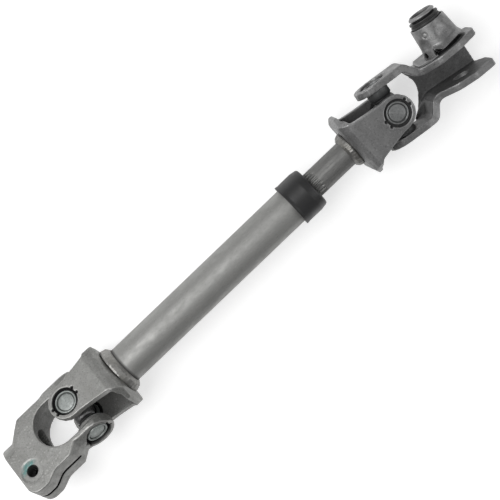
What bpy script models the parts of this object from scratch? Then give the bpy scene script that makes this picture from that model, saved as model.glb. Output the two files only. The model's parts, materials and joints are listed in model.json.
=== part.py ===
"""Intermediate steering shaft with two universal joints and a telescoping splined middle.

All lengths are in metres. The shaft lies along X: the forged clamp yoke is at the low end of X and
the stamped clamp yoke with its captive pinch bolt at the high end. Z is up, and the part lies on
its side with its lowest point at Z = 0.

Each yoke is drawn in a frame of its own: X runs from the joint's centre along the yoke's stem, and
Z is the axis of the two bearing cups that the yoke holds.
"""
import math

import bmesh
import bpy
from mathutils import Matrix, Vector

PART_NAME = "steering_shaft"

# Layout of the whole shaft
JOINT_DISTANCE = 0.3000
YOKE_PHASE = math.radians(40.0)
UPPER_BEND = math.radians(7.5)

# Running and seating clearances
SEAT_GAP = 0.0003
SLIDE_GAP = 0.0003
CUT_MARGIN = 0.0020

# Share of a half width that rounds an end fully, without its two arcs meeting
FULL_ROUND = 0.999

# Facets of round shapes
ROUND_STEPS = 28
CUP_STEPS = 24
SMALL_STEPS = 16
FILLET_STEPS = 4

# Cross and bearing cups, the same in both joints
CUP_RADIUS = 0.0080
CUP_WALL = 0.0015
CUP_FACE = 0.0215
CUP_LENGTH = 0.0105
CUP_END_WALL = 0.0016
CUP_EDGE_CHAMFER = 0.0008
CUP_RIM_WIDTH = 0.0011
CUP_RECESS_DEPTH = 0.0004
TRUNNION_RADIUS = 0.0047
TRUNNION_CHAMFER = 0.0006
TRUNNION_CENTRE_HOLE = 0.0015
HUB_RADIUS = 0.0072
HUB_SHOULDER = 0.0082
HUB_SHOULDER_RADIUS = 0.0064
NEEDLE_COUNT = 12
NEEDLE_SCALLOP = 0.0002
SEAL_RADIUS = 0.0074
SEAL_LIP_RADIUS = 0.0066
SEAL_LENGTH = 0.0021

# Eyes of all yokes
EYE_RADIUS = 0.0128
EYE_COUNTERBORE = 0.0014
EYE_COUNTERBORE_DEPTH = 0.0020
ARM_FACE = 0.0230

# Stamped yokes on the tube and on the inner shaft
PLATE = 0.0058
PLATE_BEND_RADIUS = 0.0100
BASE_FACE = 0.0375
ARM_STRAIGHT_END = 0.0042
ARM_KNEE = 0.0170
ARM_KNEE_HALF_WIDTH = 0.0146
WING_ROOT_HALF_WIDTH = 0.0168
WING_HALF_WIDTH = 0.0250
WING_DROP = 0.0025
WING_ROOT_DROP = 0.0087
WING_TIP_HALF = 0.0070
WING_CORNER_RADIUS = 0.0020

# Outer tube, its weld and the dust collar
TUBE_RADIUS = 0.0140
TUBE_WALL = 0.0030
TUBE_END = 0.2185
TUBE_CHAMFER = 0.0006
TUBE_WELD_HEIGHT = 0.0036
TUBE_WELD_LENGTH = 0.0044

# Rounding of a weld bead, as shares of its height and length
WELD_CROWN = 0.35
WELD_SHOULDER = (0.80, 0.62)
WELD_TOE = (0.92, 0.25)

# Plastic collar on the tube's end and splined sleeve inside it
COLLAR_OVERLAP = 0.0140
COLLAR_REACH = 0.0060
COLLAR_RADIUS = 0.0168
COLLAR_CHAMFER = 0.0022
SLEEVE_LENGTH = 0.0600
SLEEVE_INSET = 0.0200

# Inner shaft and its splines
SHAFT_RADIUS = 0.0098
SHAFT_INNER_END = 0.1350
SHAFT_CHAMFER = 0.0010
SPLINE_STANDOFF = 0.0045
SPLINE_TEETH = 22
SPLINE_DEPTH = 0.0009
SPLINE_TOOTH_SHARE = 0.36
SPLINE_ROOT_SHARE = 1.5
SHAFT_WELD_HEIGHT = 0.0030
SHAFT_WELD_LENGTH = 0.0042

# Forged clamp yoke at the lower end
FORGED_SPREAD = 0.0020
FORGED_ARM = 0.0065
FORGED_BACK_ARM = 0.0095
FORGED_ARM_STRAIGHT_END = 0.0081
FORGED_BOSS_END = 0.0110
FORGED_SIDE_FACE = 0.0232
ARCH_ROUND_SHARE = 0.96
FORGED_END = 0.0595
FORGED_HALF_WIDTH = 0.0140
FORGED_ARCH_FLOOR = 0.0325
FORGED_SHOULDER_START = 0.0368
FORGED_SHOULDER_END = 0.0502
FORGED_BOSS_CORNER_RADIUS = 0.0257
FORGED_ARM_CORNER_RADIUS = 0.0248
CLAMP_RING_RADIUS = 0.0148
CLAMP_BORE_RADIUS = 0.00875
CLAMP_NECK_START = 0.0200
CLAMP_NECK_END = 0.0360
CLAMP_NECK_REACH = 0.0276
CLAMP_EAR_START = 0.0450
CLAMP_EAR_REACH = 0.0322
CLAMP_BLEND_END = 0.0300
CLAMP_BLEND_RADIUS = 0.0360
CLAMP_SLIT = 0.0016
CLAMP_SLIT_START = 0.0196
CLAMP_BOLT_X = 0.0490
CLAMP_BOLT_OFFSET = 0.0168
CLAMP_BOLT_HOLE_RADIUS = 0.0041
CLAMP_SPOTFACE_RADIUS = 0.0085
CLAMP_SPOTFACE_DEPTH = 0.0006
CLAMP_CORNER_RADIUS = 0.0050
CLAMP_EAR_CORNER_RADIUS = 0.0080
CLAMP_EAR_BACK = 0.0105

# Stamped clamp yoke at the upper end
CHANNEL_PLATE = 0.0052
CHANNEL_SPREAD = 0.0010
CHANNEL_ARM_FACE = ARM_FACE + CHANNEL_SPREAD
CHANNEL_EYE_REACH = 0.0150
CHANNEL_ARM_END = 0.0235
CHANNEL_FRONT_STRAIGHT_END = 0.0141
CHANNEL_BACK_STRAIGHT_END = 0.0188
CHANNEL_ROOT = 0.0310
CHANNEL_ROOT_FACE = 0.0128
CHANNEL_TIP = 0.0775
CHANNEL_TIP_FACE = 0.0154
CHANNEL_SHOULDER_RADIUS = 0.0070
CHANNEL_WEB_OUTER = 0.0212
CHANNEL_WEB = 0.0050
CHANNEL_WEB_START = 0.0277
CHANNEL_WEB_SKEW = 0.0055
CHANNEL_ARCH_RADIUS = 0.0172
CHANNEL_WEB_END = 0.0695
CHANNEL_FRONT_ROOT = 0.0095
CHANNEL_EAR_START = 0.0450
CHANNEL_EAR_END = 0.0600
CHANNEL_EAR_FRONT = 0.0215
CHANNEL_TIP_FRONT = 0.0125
CHANNEL_TIP_CHAMFER = 0.0060

# Captive pinch bolt and its cage
PINCH_X = 0.0548
PINCH_FRONT_OFFSET = 0.0025
BOLT_RADIUS = 0.0049
BOLT_LENGTH = 0.0316
BOLT_HEAD_RADIUS = 0.0100
BOLT_HEAD_HEIGHT = 0.0036
BOLT_HEAD_RIM = 0.0024
BOLT_HEAD_RECESS = 0.0012
BOLT_SOCKET_RADIUS = 0.0034
BOLT_SOCKET_DEPTH = 0.0030
RETAINER_RADIUS = 0.0112
RETAINER_THICKNESS = 0.0045
CAGE_SHEET = 0.0011
CAGE_GAP = 0.0006
CAGE_HEIGHT = 0.0217
CAGE_FLARE = 0.0007
CAGE_SKIRT_RADIUS = 0.0152
CAGE_SKIRT_HEIGHT = 0.0050
CAGE_STANDOFF = 0.0020
CAGE_TAB_LENGTH = 0.0075
CAGE_TAB_HALF_WIDTH = 0.0065
CAGE_TAB_SLOT = (0.0026, 0.0050)
CAGE_SLOT_SHARE = 0.55

# Colours as red, green, blue, then roughness and metallic
STEEL_LIGHT = ((0.36, 0.36, 0.34), 0.45, 0.9)
STEEL_MID = ((0.30, 0.30, 0.29), 0.42, 0.9)
STEEL_DARK = ((0.17, 0.17, 0.17), 0.48, 0.9)
STEEL_BRIGHT = ((0.46, 0.48, 0.48), 0.30, 1.0)
WELD_STEEL = ((0.24, 0.23, 0.20), 0.55, 0.8)
BLACK_PLASTIC = ((0.025, 0.025, 0.027), 0.50, 0.0)
BLACK_RUBBER = ((0.015, 0.015, 0.015), 0.75, 0.0)

# Sizes that follow from the ones above
CUP_BORE_RADIUS = CUP_RADIUS + SEAT_GAP
CUP_OPEN_END = CUP_FACE - CUP_LENGTH
CUP_CAVITY_RADIUS = CUP_RADIUS - CUP_WALL
CUP_CAVITY_END = CUP_FACE - CUP_RECESS_DEPTH - CUP_END_WALL
TRUNNION_END = CUP_CAVITY_END - SEAT_GAP
NEEDLE_INNER_RADIUS = TRUNNION_RADIUS + SEAT_GAP
NEEDLE_OUTER_RADIUS = CUP_CAVITY_RADIUS - SEAT_GAP
SEAL_START = CUP_OPEN_END - SEAT_GAP - SEAL_LENGTH
SHAFT_BASE_X = JOINT_DISTANCE - BASE_FACE
COLLAR_START = TUBE_END - COLLAR_OVERLAP
COLLAR_END = TUBE_END + COLLAR_REACH
SPLINE_START = COLLAR_END + SPLINE_STANDOFF
TUBE_BORE_RADIUS = TUBE_RADIUS - TUBE_WALL


def clear_scene():
    """Remove every object of the opened scene."""
    for item in list(bpy.data.objects):
        bpy.data.objects.remove(item, do_unlink=True)


def new_collection(name):
    """Add a collection to the scene."""
    collection = bpy.data.collections.new(name)
    bpy.context.scene.collection.children.link(collection)
    return collection


def new_material(name, look):
    """Principled material from a colour, a roughness and a metallic value."""
    colour, roughness, metallic = look
    material = bpy.data.materials.new(name)
    material.use_nodes = True
    shader = material.node_tree.nodes["Principled BSDF"]
    shader.inputs["Base Color"].default_value = (*colour, 1.0)
    shader.inputs["Roughness"].default_value = roughness
    shader.inputs["Metallic"].default_value = metallic
    material.diffuse_color = (*colour, 1.0)
    return material


clear_scene()
PARTS = new_collection(PART_NAME)
CUTTERS = new_collection("cutters")


def add_empty(name, parent, matrix):
    """Empty that carries pieces, placed in its parent's frame."""
    empty = bpy.data.objects.new(name, None)
    empty.empty_display_size = 0.02
    PARTS.objects.link(empty)
    empty.parent = parent
    empty.matrix_local = matrix
    return empty


def add_mesh_object(name, mesh, parent, matrix, collection):
    """Object for a mesh, placed in its parent's frame."""
    item = bpy.data.objects.new(name, mesh)
    collection.objects.link(item)
    item.parent = parent
    item.matrix_local = matrix
    if collection is CUTTERS:
        item.hide_render = True
        item.display_type = 'WIRE'
    return item


def finish_part(item, look, sharp_angle=35.0):
    """Give a part its own material and smooth shading between its sharp edges."""
    item.data.materials.clear()
    item.data.materials.append(new_material(item.name + "_finish", look))
    item.data.shade_smooth()
    item.data.set_sharp_from_angle(angle=math.radians(sharp_angle))
    return item


def rounded_outline(corners, steps=FILLET_STEPS):
    """Points of a closed outline from corners (u, v, radius), each radius drawn as an arc."""
    points = []
    for index, (u, v, radius) in enumerate(corners):
        corner = Vector((u, v))
        if radius == 0.0:
            points.append(corner)
            continue
        before = Vector(corners[index - 1][:2])
        after = Vector(corners[(index + 1) % len(corners)][:2])
        to_before = (before - corner).normalized()
        to_after = (after - corner).normalized()
        half_angle = to_before.angle(to_after) / 2.0
        setback = radius / math.tan(half_angle)
        bisector = (to_before + to_after).normalized()
        centre = corner + bisector * (radius / math.sin(half_angle))
        start = corner + to_before * setback - centre
        end = corner + to_after * setback - centre
        start_angle = math.atan2(start.y, start.x)
        sweep = math.atan2(end.y, end.x) - start_angle
        sweep = (sweep + math.pi) % (2.0 * math.pi) - math.pi
        for step in range(steps + 1):
            angle = start_angle + sweep * step / steps
            points.append(centre + Vector((math.cos(angle), math.sin(angle))) * radius)
    return points


def mirrored(corners):
    """Closed list of corners from its half on the positive side of the second coordinate."""
    other_half = [(u, -v, radius) for u, v, radius in reversed(corners)]
    return corners + other_half


# Turn an outline's plane (its u, v) into the frame's named plane
PLANES = {
    "XY": Matrix.Identity(4),
    "XZ": Matrix.Rotation(math.radians(90.0), 4, 'X'),
    "YZ": Matrix(((0, 0, 1, 0), (1, 0, 0, 0), (0, 1, 0, 0), (0, 0, 0, 1))),
}


def extruded(name, outlines, depth, plane, middle, parent, collection):
    """Prism from flat outlines, centred at a distance from the plane; inner outlines are holes."""
    curve = bpy.data.curves.new(name + "_outline", 'CURVE')
    curve.dimensions = '2D'
    curve.fill_mode = 'BOTH'
    curve.extrude = depth / 2.0
    for outline in outlines:
        spline = curve.splines.new('POLY')
        spline.points.add(len(outline) - 1)
        for point, (u, v) in zip(spline.points, outline):
            point.co = (u, v, 0.0, 1.0)
        spline.use_cyclic_u = True
    flat = bpy.data.objects.new(name + "_outline", curve)
    collection.objects.link(flat)
    flat.parent = parent
    offset = {"XY": (0.0, 0.0, middle), "XZ": (0.0, middle, 0.0), "YZ": (middle, 0.0, 0.0)}
    flat.matrix_local = Matrix.Translation(offset[plane]) @ PLANES[plane]
    graph = bpy.context.evaluated_depsgraph_get()
    mesh = bpy.data.meshes.new_from_object(flat.evaluated_get(graph))
    mesh.name = name
    mesh.materials.clear()
    build = bmesh.new()
    build.from_mesh(mesh)
    bmesh.ops.remove_doubles(build, verts=build.verts, dist=0.000001)
    bmesh.ops.dissolve_limit(build, angle_limit=0.002, verts=build.verts, edges=build.edges)
    bmesh.ops.recalc_face_normals(build, faces=build.faces)
    build.to_mesh(mesh)
    build.free()
    matrix = flat.matrix_local.copy()
    bpy.data.objects.remove(flat, do_unlink=True)
    bpy.data.curves.remove(curve)
    return add_mesh_object(name, mesh, parent, matrix, collection)


def turned(name, profile, steps, parent, matrix, collection, closed=False):
    """Turned piece about its Z axis: a profile of (radius, height) with a Screw modifier."""
    mesh = bpy.data.meshes.new(name)
    build = bmesh.new()
    verts = [build.verts.new((radius, 0.0, height)) for radius, height in profile]
    for first, second in zip(verts, verts[1:]):
        build.edges.new((first, second))
    if closed:
        build.edges.new((verts[-1], verts[0]))
    build.to_mesh(mesh)
    build.free()
    item = add_mesh_object(name, mesh, parent, matrix, collection)
    screw = item.modifiers.new("turn", 'SCREW')
    screw.axis = 'Z'
    screw.angle = 2.0 * math.pi
    screw.steps = steps
    screw.render_steps = steps
    screw.use_merge_vertices = True
    screw.merge_threshold = 0.00001
    screw.use_smooth_shade = True
    return item


def cylinder(name, radius, length, matrix, parent, collection, steps=ROUND_STEPS):
    """Cylinder along Z, centred on its matrix."""
    mesh = bpy.data.meshes.new(name)
    build = bmesh.new()
    bmesh.ops.create_cone(build, cap_ends=True, segments=steps, radius1=radius,
                          radius2=radius, depth=length)
    build.to_mesh(mesh)
    build.free()
    return add_mesh_object(name, mesh, parent, matrix, collection)


def box(name, low, high, parent, collection):
    """Box between two corners."""
    mesh = bpy.data.meshes.new(name)
    build = bmesh.new()
    size = Vector(high) - Vector(low)
    middle = (Vector(high) + Vector(low)) / 2.0
    bmesh.ops.create_cube(build, size=1.0, matrix=Matrix.Diagonal((*size, 1.0)))
    build.to_mesh(mesh)
    build.free()
    return add_mesh_object(name, mesh, parent, Matrix.Translation(middle), collection)


def combine(item, operation, tool):
    """Boolean modifier with the exact solver."""
    modifier = item.modifiers.new(tool.name, 'BOOLEAN')
    modifier.operation = operation
    modifier.solver = 'EXACT'
    modifier.object = tool


def along(axis):
    """Rotation that turns Z into the named axis of the frame."""
    turns = {
        "X": Matrix.Rotation(math.radians(90.0), 4, 'Y'),
        "-X": Matrix.Rotation(math.radians(-90.0), 4, 'Y'),
        "Y": Matrix.Rotation(math.radians(-90.0), 4, 'X'),
        "-Y": Matrix.Rotation(math.radians(90.0), 4, 'X'),
        "Z": Matrix.Identity(4),
        "-Z": Matrix.Rotation(math.radians(180.0), 4, 'X'),
    }
    return turns[axis]


def at(x, y, z):
    """Translation matrix."""
    return Matrix.Translation((x, y, z))


def cut_cup_bores(yoke, parent, arm_face):
    """Bore both eyes for their cups, with a wider mouth on the outside."""
    bore = cylinder(yoke.name + "_cup_bore", CUP_BORE_RADIUS, 2.0 * (arm_face + CUT_MARGIN),
                    along("Z"), parent, CUTTERS, CUP_STEPS)
    combine(yoke, 'DIFFERENCE', bore)
    for number, side in enumerate(("Z", "-Z"), 1):
        mouth_low = arm_face - EYE_COUNTERBORE_DEPTH
        mouth_high = arm_face + CUT_MARGIN
        profile = [
            (0.0, mouth_high),
            (CUP_BORE_RADIUS + EYE_COUNTERBORE, mouth_high),
            (CUP_BORE_RADIUS + EYE_COUNTERBORE, mouth_low),
            (0.0, mouth_low),
        ]
        mouth = turned(f"{yoke.name}_mouth_{number}", profile, CUP_STEPS, parent,
                       along(side), CUTTERS)
        combine(yoke, 'DIFFERENCE', mouth)


def stamped_yoke(name, stem_radius, parent, look):
    """Yoke pressed from plate: a U with wide wings at its base and an eye on each arm."""
    inner_radius = PLATE_BEND_RADIUS - PLATE
    reach = EYE_RADIUS + CUT_MARGIN
    u_half = [
        (-reach, ARM_FACE - PLATE, 0.0),
        (-reach, ARM_FACE, 0.0),
        (BASE_FACE, ARM_FACE, PLATE_BEND_RADIUS),
    ]
    u_inner = [
        (BASE_FACE - PLATE, -(ARM_FACE - PLATE), inner_radius),
        (BASE_FACE - PLATE, ARM_FACE - PLATE, inner_radius),
    ]
    u_outline = rounded_outline(mirrored(u_half) + u_inner)
    width = 2.0 * (WING_HALF_WIDTH + CUT_MARGIN)
    yoke = extruded(name, [u_outline], width, "XZ", 0.0, parent, PARTS)

    side_half = [
        (-EYE_RADIUS, EYE_RADIUS, EYE_RADIUS * FULL_ROUND),
        (ARM_STRAIGHT_END, EYE_RADIUS, EYE_RADIUS),
        (ARM_KNEE, ARM_KNEE_HALF_WIDTH, EYE_RADIUS),
        (BASE_FACE - WING_ROOT_DROP, WING_ROOT_HALF_WIDTH, PLATE / 2.0),
        (BASE_FACE - PLATE, WING_HALF_WIDTH, WING_CORNER_RADIUS),
        (BASE_FACE - WING_DROP, WING_HALF_WIDTH, WING_CORNER_RADIUS / 2.0),
        (BASE_FACE, WING_ROOT_HALF_WIDTH, PLATE),
        (BASE_FACE + CUT_MARGIN, WING_ROOT_HALF_WIDTH, 0.0),
    ]
    side = extruded(name + "_side", [rounded_outline(mirrored(side_half))],
                    2.0 * (ARM_FACE + CUT_MARGIN), "XY", 0.0, parent, CUTTERS)
    combine(yoke, 'INTERSECT', side)

    end_corners = [
        (WING_HALF_WIDTH + CUT_MARGIN / 4.0, -WING_TIP_HALF, WING_CORNER_RADIUS),
        (WING_HALF_WIDTH + CUT_MARGIN / 4.0, WING_TIP_HALF, WING_CORNER_RADIUS),
        (WING_ROOT_HALF_WIDTH, ARM_FACE + CUT_MARGIN, 0.0),
        (-WING_ROOT_HALF_WIDTH, ARM_FACE + CUT_MARGIN, 0.0),
        (-WING_HALF_WIDTH - CUT_MARGIN / 4.0, WING_TIP_HALF, WING_CORNER_RADIUS),
        (-WING_HALF_WIDTH - CUT_MARGIN / 4.0, -WING_TIP_HALF, WING_CORNER_RADIUS),
        (-WING_ROOT_HALF_WIDTH, -ARM_FACE - CUT_MARGIN, 0.0),
        (WING_ROOT_HALF_WIDTH, -ARM_FACE - CUT_MARGIN, 0.0),
    ]
    length = BASE_FACE + EYE_RADIUS + 4.0 * CUT_MARGIN
    end = extruded(name + "_end", [rounded_outline(end_corners)], length, "YZ",
                   (BASE_FACE - EYE_RADIUS) / 2.0, parent, CUTTERS)
    combine(yoke, 'INTERSECT', end)

    cut_cup_bores(yoke, parent, ARM_FACE)
    hole = cylinder(name + "_stem_hole", stem_radius, 4.0 * PLATE,
                    at(BASE_FACE, 0.0, 0.0) @ along("X"), parent, CUTTERS)
    combine(yoke, 'DIFFERENCE', hole)
    return finish_part(yoke, look)


def forged_clamp_yoke(name, parent, look):
    """Forged yoke with a split clamp ring: the ears and the pinch bolt hole are on its +Z side."""
    face = ARM_FACE + FORGED_SPREAD
    arch_half = face - FORGED_ARM
    arch_back = face - FORGED_BACK_ARM
    arch_radius = ARCH_ROUND_SHARE * (arch_half + arch_back) / 2.0
    reach = -EYE_RADIUS - CUT_MARGIN
    outline = [
        (reach, face, 0.0),
        (FORGED_BOSS_END, face, CLAMP_CORNER_RADIUS),
        (CLAMP_NECK_START, CLAMP_NECK_REACH, CLAMP_CORNER_RADIUS),
        (CLAMP_NECK_END, CLAMP_NECK_REACH, EYE_RADIUS),
        (CLAMP_EAR_START, CLAMP_EAR_REACH, EYE_RADIUS / 2.0),
        (FORGED_END, CLAMP_EAR_REACH, CLAMP_EAR_CORNER_RADIUS),
        (FORGED_END, -CLAMP_RING_RADIUS, SHAFT_CHAMFER),
        (FORGED_SHOULDER_END, -CLAMP_RING_RADIUS, CLAMP_CORNER_RADIUS),
        (FORGED_SHOULDER_START, -FORGED_SIDE_FACE, CLAMP_CORNER_RADIUS),
        (FORGED_BOSS_END + CLAMP_CORNER_RADIUS, -FORGED_SIDE_FACE, CLAMP_CORNER_RADIUS),
        (FORGED_BOSS_END, -face, CLAMP_CORNER_RADIUS),
        (reach, -face, 0.0),
        (reach, -arch_back, 0.0),
        (FORGED_ARCH_FLOOR, -arch_back, arch_radius),
        (FORGED_ARCH_FLOOR, arch_half, arch_radius),
        (reach, arch_half, 0.0),
    ]
    yoke = extruded(name, [rounded_outline(outline, FILLET_STEPS + 2)],
                    2.0 * FORGED_HALF_WIDTH, "XZ", 0.0, parent, PARTS)

    side_half = [
        (-EYE_RADIUS, EYE_RADIUS, EYE_RADIUS * FULL_ROUND),
        (FORGED_ARM_STRAIGHT_END, EYE_RADIUS, EYE_RADIUS),
        (FORGED_ARCH_FLOOR, FORGED_HALF_WIDTH - CLAMP_SPOTFACE_DEPTH, EYE_RADIUS),
        (FORGED_END + CUT_MARGIN, FORGED_HALF_WIDTH, 0.0),
    ]
    side = extruded(name + "_side", [rounded_outline(mirrored(side_half))],
                    2.0 * (CLAMP_EAR_REACH + CUT_MARGIN), "XY", 0.0, parent, CUTTERS)
    combine(yoke, 'INTERSECT', side)

    corner = FORGED_ARM_CORNER_RADIUS
    turned_profile = [
        (0.0, FORGED_SHOULDER_END),
        (CLAMP_RING_RADIUS, FORGED_SHOULDER_END),
        (corner, FORGED_SHOULDER_START),
        (corner, FORGED_BOSS_END + CLAMP_CORNER_RADIUS),
        (FORGED_BOSS_CORNER_RADIUS, FORGED_BOSS_END),
        (FORGED_BOSS_CORNER_RADIUS, -EYE_RADIUS - CUT_MARGIN),
        (0.0, -EYE_RADIUS - CUT_MARGIN),
    ]
    arms_round = turned(name + "_round", turned_profile, ROUND_STEPS, parent, along("X"), CUTTERS)
    ring_profile = rounded_outline([
        (-FORGED_HALF_WIDTH, CLAMP_EAR_REACH + CUT_MARGIN, 0.0),
        (-FORGED_HALF_WIDTH, -CLAMP_RING_RADIUS, FORGED_HALF_WIDTH * FULL_ROUND),
        (FORGED_HALF_WIDTH, -CLAMP_RING_RADIUS, FORGED_HALF_WIDTH * FULL_ROUND),
        (FORGED_HALF_WIDTH, CLAMP_BOLT_OFFSET, EYE_RADIUS),
        (CLAMP_EAR_BACK, CLAMP_EAR_REACH + CUT_MARGIN, 0.0),
    ], 2 * FILLET_STEPS)
    ring_start = FORGED_ARCH_FLOOR - arch_half
    ring = extruded(name + "_ring", [ring_profile], FORGED_END + CUT_MARGIN - ring_start, "YZ",
                    (FORGED_END + CUT_MARGIN + ring_start) / 2.0, parent, CUTTERS)
    blend_profile = [
        (0.0, FORGED_END + 2.0 * CUT_MARGIN),
        (CLAMP_BLEND_RADIUS, FORGED_END + 2.0 * CUT_MARGIN),
        (CLAMP_BLEND_RADIUS, CLAMP_BLEND_END),
        (corner, ring_start),
        (0.0, ring_start),
    ]
    blend = turned(name + "_blend", blend_profile, ROUND_STEPS, parent, along("X"), CUTTERS)
    combine(ring, 'INTERSECT', blend)
    combine(ring, 'UNION', arms_round)
    combine(yoke, 'INTERSECT', ring)

    cut_cup_bores(yoke, parent, face)
    bore = cylinder(name + "_bore", CLAMP_BORE_RADIUS, FORGED_END,
                    at(FORGED_END, 0.0, 0.0) @ along("X"), parent, CUTTERS)
    combine(yoke, 'DIFFERENCE', bore)
    slit = box(name + "_slit", (CLAMP_SLIT_START, -CLAMP_SLIT / 2.0, CLAMP_BORE_RADIUS / 2.0),
               (FORGED_END + CUT_MARGIN, CLAMP_SLIT / 2.0, CLAMP_EAR_REACH + CUT_MARGIN),
               parent, CUTTERS)
    combine(yoke, 'DIFFERENCE', slit)
    bolt_place = at(CLAMP_BOLT_X, 0.0, CLAMP_BOLT_OFFSET)
    bolt_hole = cylinder(name + "_bolt_hole", CLAMP_BOLT_HOLE_RADIUS, 4.0 * FORGED_HALF_WIDTH,
                         bolt_place @ along("Y"), parent, CUTTERS, SMALL_STEPS)
    combine(yoke, 'DIFFERENCE', bolt_hole)
    for number, side_name in enumerate(("Y", "-Y"), 1):
        lift = at(0.0, 0.0, FORGED_HALF_WIDTH - CLAMP_SPOTFACE_DEPTH + CUT_MARGIN / 2.0)
        spotface = cylinder(f"{name}_spotface_{number}", CLAMP_SPOTFACE_RADIUS, CUT_MARGIN,
                            bolt_place @ along(side_name) @ lift, parent, CUTTERS)
        combine(yoke, 'DIFFERENCE', spotface)
    return finish_part(yoke, look)


def channel_outer_corners():
    """Outer side of one arm and flange of the stamped clamp yoke, from eye to tip."""
    return [
        (-CHANNEL_EYE_REACH - CUT_MARGIN, CHANNEL_ARM_FACE, 0.0),
        (CHANNEL_ARM_END, CHANNEL_ARM_FACE, CHANNEL_SHOULDER_RADIUS),
        (CHANNEL_ROOT, CHANNEL_ROOT_FACE, CHANNEL_SHOULDER_RADIUS),
        (CHANNEL_TIP, CHANNEL_TIP_FACE, 0.0),
    ]


def channel_inner_corners():
    """Inner side of the same arm and flange, one plate thickness in."""
    drop = CHANNEL_ARM_FACE - CHANNEL_ROOT_FACE
    run = CHANNEL_ROOT - CHANNEL_ARM_END
    shift = CHANNEL_PLATE * math.tan(math.atan2(drop, run) / 2.0)
    past = CHANNEL_TIP + CUT_MARGIN
    slope = (CHANNEL_TIP_FACE - CHANNEL_ROOT_FACE) / (CHANNEL_TIP - CHANNEL_ROOT)
    past_face = CHANNEL_ROOT_FACE + slope * (past - CHANNEL_ROOT) - CHANNEL_PLATE
    return [
        (-CHANNEL_EYE_REACH - 2.0 * CUT_MARGIN, CHANNEL_ARM_FACE - CHANNEL_PLATE, 0.0),
        (CHANNEL_ARM_END - shift, CHANNEL_ARM_FACE - CHANNEL_PLATE,
         CHANNEL_SHOULDER_RADIUS - CHANNEL_PLATE / 2.0),
        (CHANNEL_ROOT - shift, CHANNEL_ROOT_FACE - CHANNEL_PLATE,
         CHANNEL_SHOULDER_RADIUS + CHANNEL_PLATE / 2.0),
        (past, past_face, 0.0),
    ]


def channel_clamp_yoke(name, parent, look):
    """Yoke pressed from plate: two arms bend in to the flanges of a channel; the web is at +Y."""
    front = -CHANNEL_EAR_FRONT
    back = CHANNEL_WEB_OUTER
    outer = rounded_outline(mirrored(channel_outer_corners()))
    yoke = extruded(name, [outer], back - front, "XZ", (back + front) / 2.0, parent, PARTS)

    side_corners = [
        (-CHANNEL_EYE_REACH, -EYE_RADIUS, EYE_RADIUS * FULL_ROUND),
        (CHANNEL_FRONT_STRAIGHT_END, -EYE_RADIUS, EYE_RADIUS),
        (CHANNEL_ROOT, -CHANNEL_FRONT_ROOT, EYE_RADIUS / 2.0),
        (CHANNEL_EAR_START, -CHANNEL_EAR_FRONT, EYE_RADIUS),
        (CHANNEL_EAR_END, -CHANNEL_EAR_FRONT, EYE_RADIUS),
        (CHANNEL_TIP, -CHANNEL_TIP_FRONT, CHANNEL_TIP_CHAMFER),
        (CHANNEL_TIP, CHANNEL_WEB_OUTER / 4.0, PLATE),
        (CHANNEL_WEB_END, CHANNEL_WEB_OUTER, PLATE / 2.0),
        (CHANNEL_ROOT, CHANNEL_WEB_OUTER, EYE_RADIUS),
        (CHANNEL_BACK_STRAIGHT_END, EYE_RADIUS, EYE_RADIUS / 2.0),
        (-CHANNEL_EYE_REACH, EYE_RADIUS, EYE_RADIUS * FULL_ROUND),
    ]
    side = extruded(name + "_side", [rounded_outline(side_corners)],
                    2.0 * (CHANNEL_ARM_FACE + CUT_MARGIN), "XY", 0.0, parent, CUTTERS)
    combine(yoke, 'INTERSECT', side)

    inner = rounded_outline(mirrored(channel_inner_corners()))
    channel_back = CHANNEL_WEB_OUTER - CHANNEL_WEB
    channel_front = -CHANNEL_EAR_FRONT - CUT_MARGIN
    channel = extruded(name + "_channel", [inner], channel_back - channel_front, "XZ",
                       (channel_back + channel_front) / 2.0, parent, CUTTERS)
    combine(yoke, 'DIFFERENCE', channel)
    arch_half = CHANNEL_ARM_FACE - CHANNEL_PLATE
    arch_corners = [
        (-CHANNEL_EYE_REACH - CUT_MARGIN, arch_half, 0.0),
        (CHANNEL_WEB_START, arch_half, CHANNEL_ARCH_RADIUS),
        (CHANNEL_WEB_START - CHANNEL_WEB_SKEW, -arch_half, CHANNEL_ARCH_RADIUS),
        (-CHANNEL_EYE_REACH - CUT_MARGIN, -arch_half, 0.0),
    ]
    arch = extruded(name + "_arch", [rounded_outline(arch_corners, 2 * FILLET_STEPS)],
                    4.0 * CHANNEL_WEB_OUTER, "XZ", 0.0, parent, CUTTERS)
    combine(yoke, 'DIFFERENCE', arch)

    cut_cup_bores(yoke, parent, CHANNEL_ARM_FACE)
    bolt_place = at(PINCH_X, -PINCH_FRONT_OFFSET, 0.0)
    bolt_hole = cylinder(name + "_bolt_hole", BOLT_RADIUS + SLIDE_GAP, 4.0 * CHANNEL_TIP_FACE,
                         bolt_place, parent, CUTTERS, SMALL_STEPS)
    combine(yoke, 'DIFFERENCE', bolt_hole)
    return finish_part(yoke, look)


def cross_bar(spread):
    """Profile of one bar of a cross, each end moved out by the spread."""
    half = [
        (0.0, TRUNNION_END - TRUNNION_CENTRE_HOLE),
        (TRUNNION_CENTRE_HOLE, TRUNNION_END),
        (TRUNNION_RADIUS - TRUNNION_CHAMFER, TRUNNION_END),
        (TRUNNION_RADIUS, TRUNNION_END - TRUNNION_CHAMFER),
        (TRUNNION_RADIUS, HUB_SHOULDER),
        (HUB_SHOULDER_RADIUS, HUB_SHOULDER),
        (HUB_RADIUS, HUB_SHOULDER - (HUB_RADIUS - HUB_SHOULDER_RADIUS)),
    ]
    outer = [(radius, height + spread) for radius, height in half]
    return outer + [(radius, -height) for radius, height in reversed(outer)]


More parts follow.
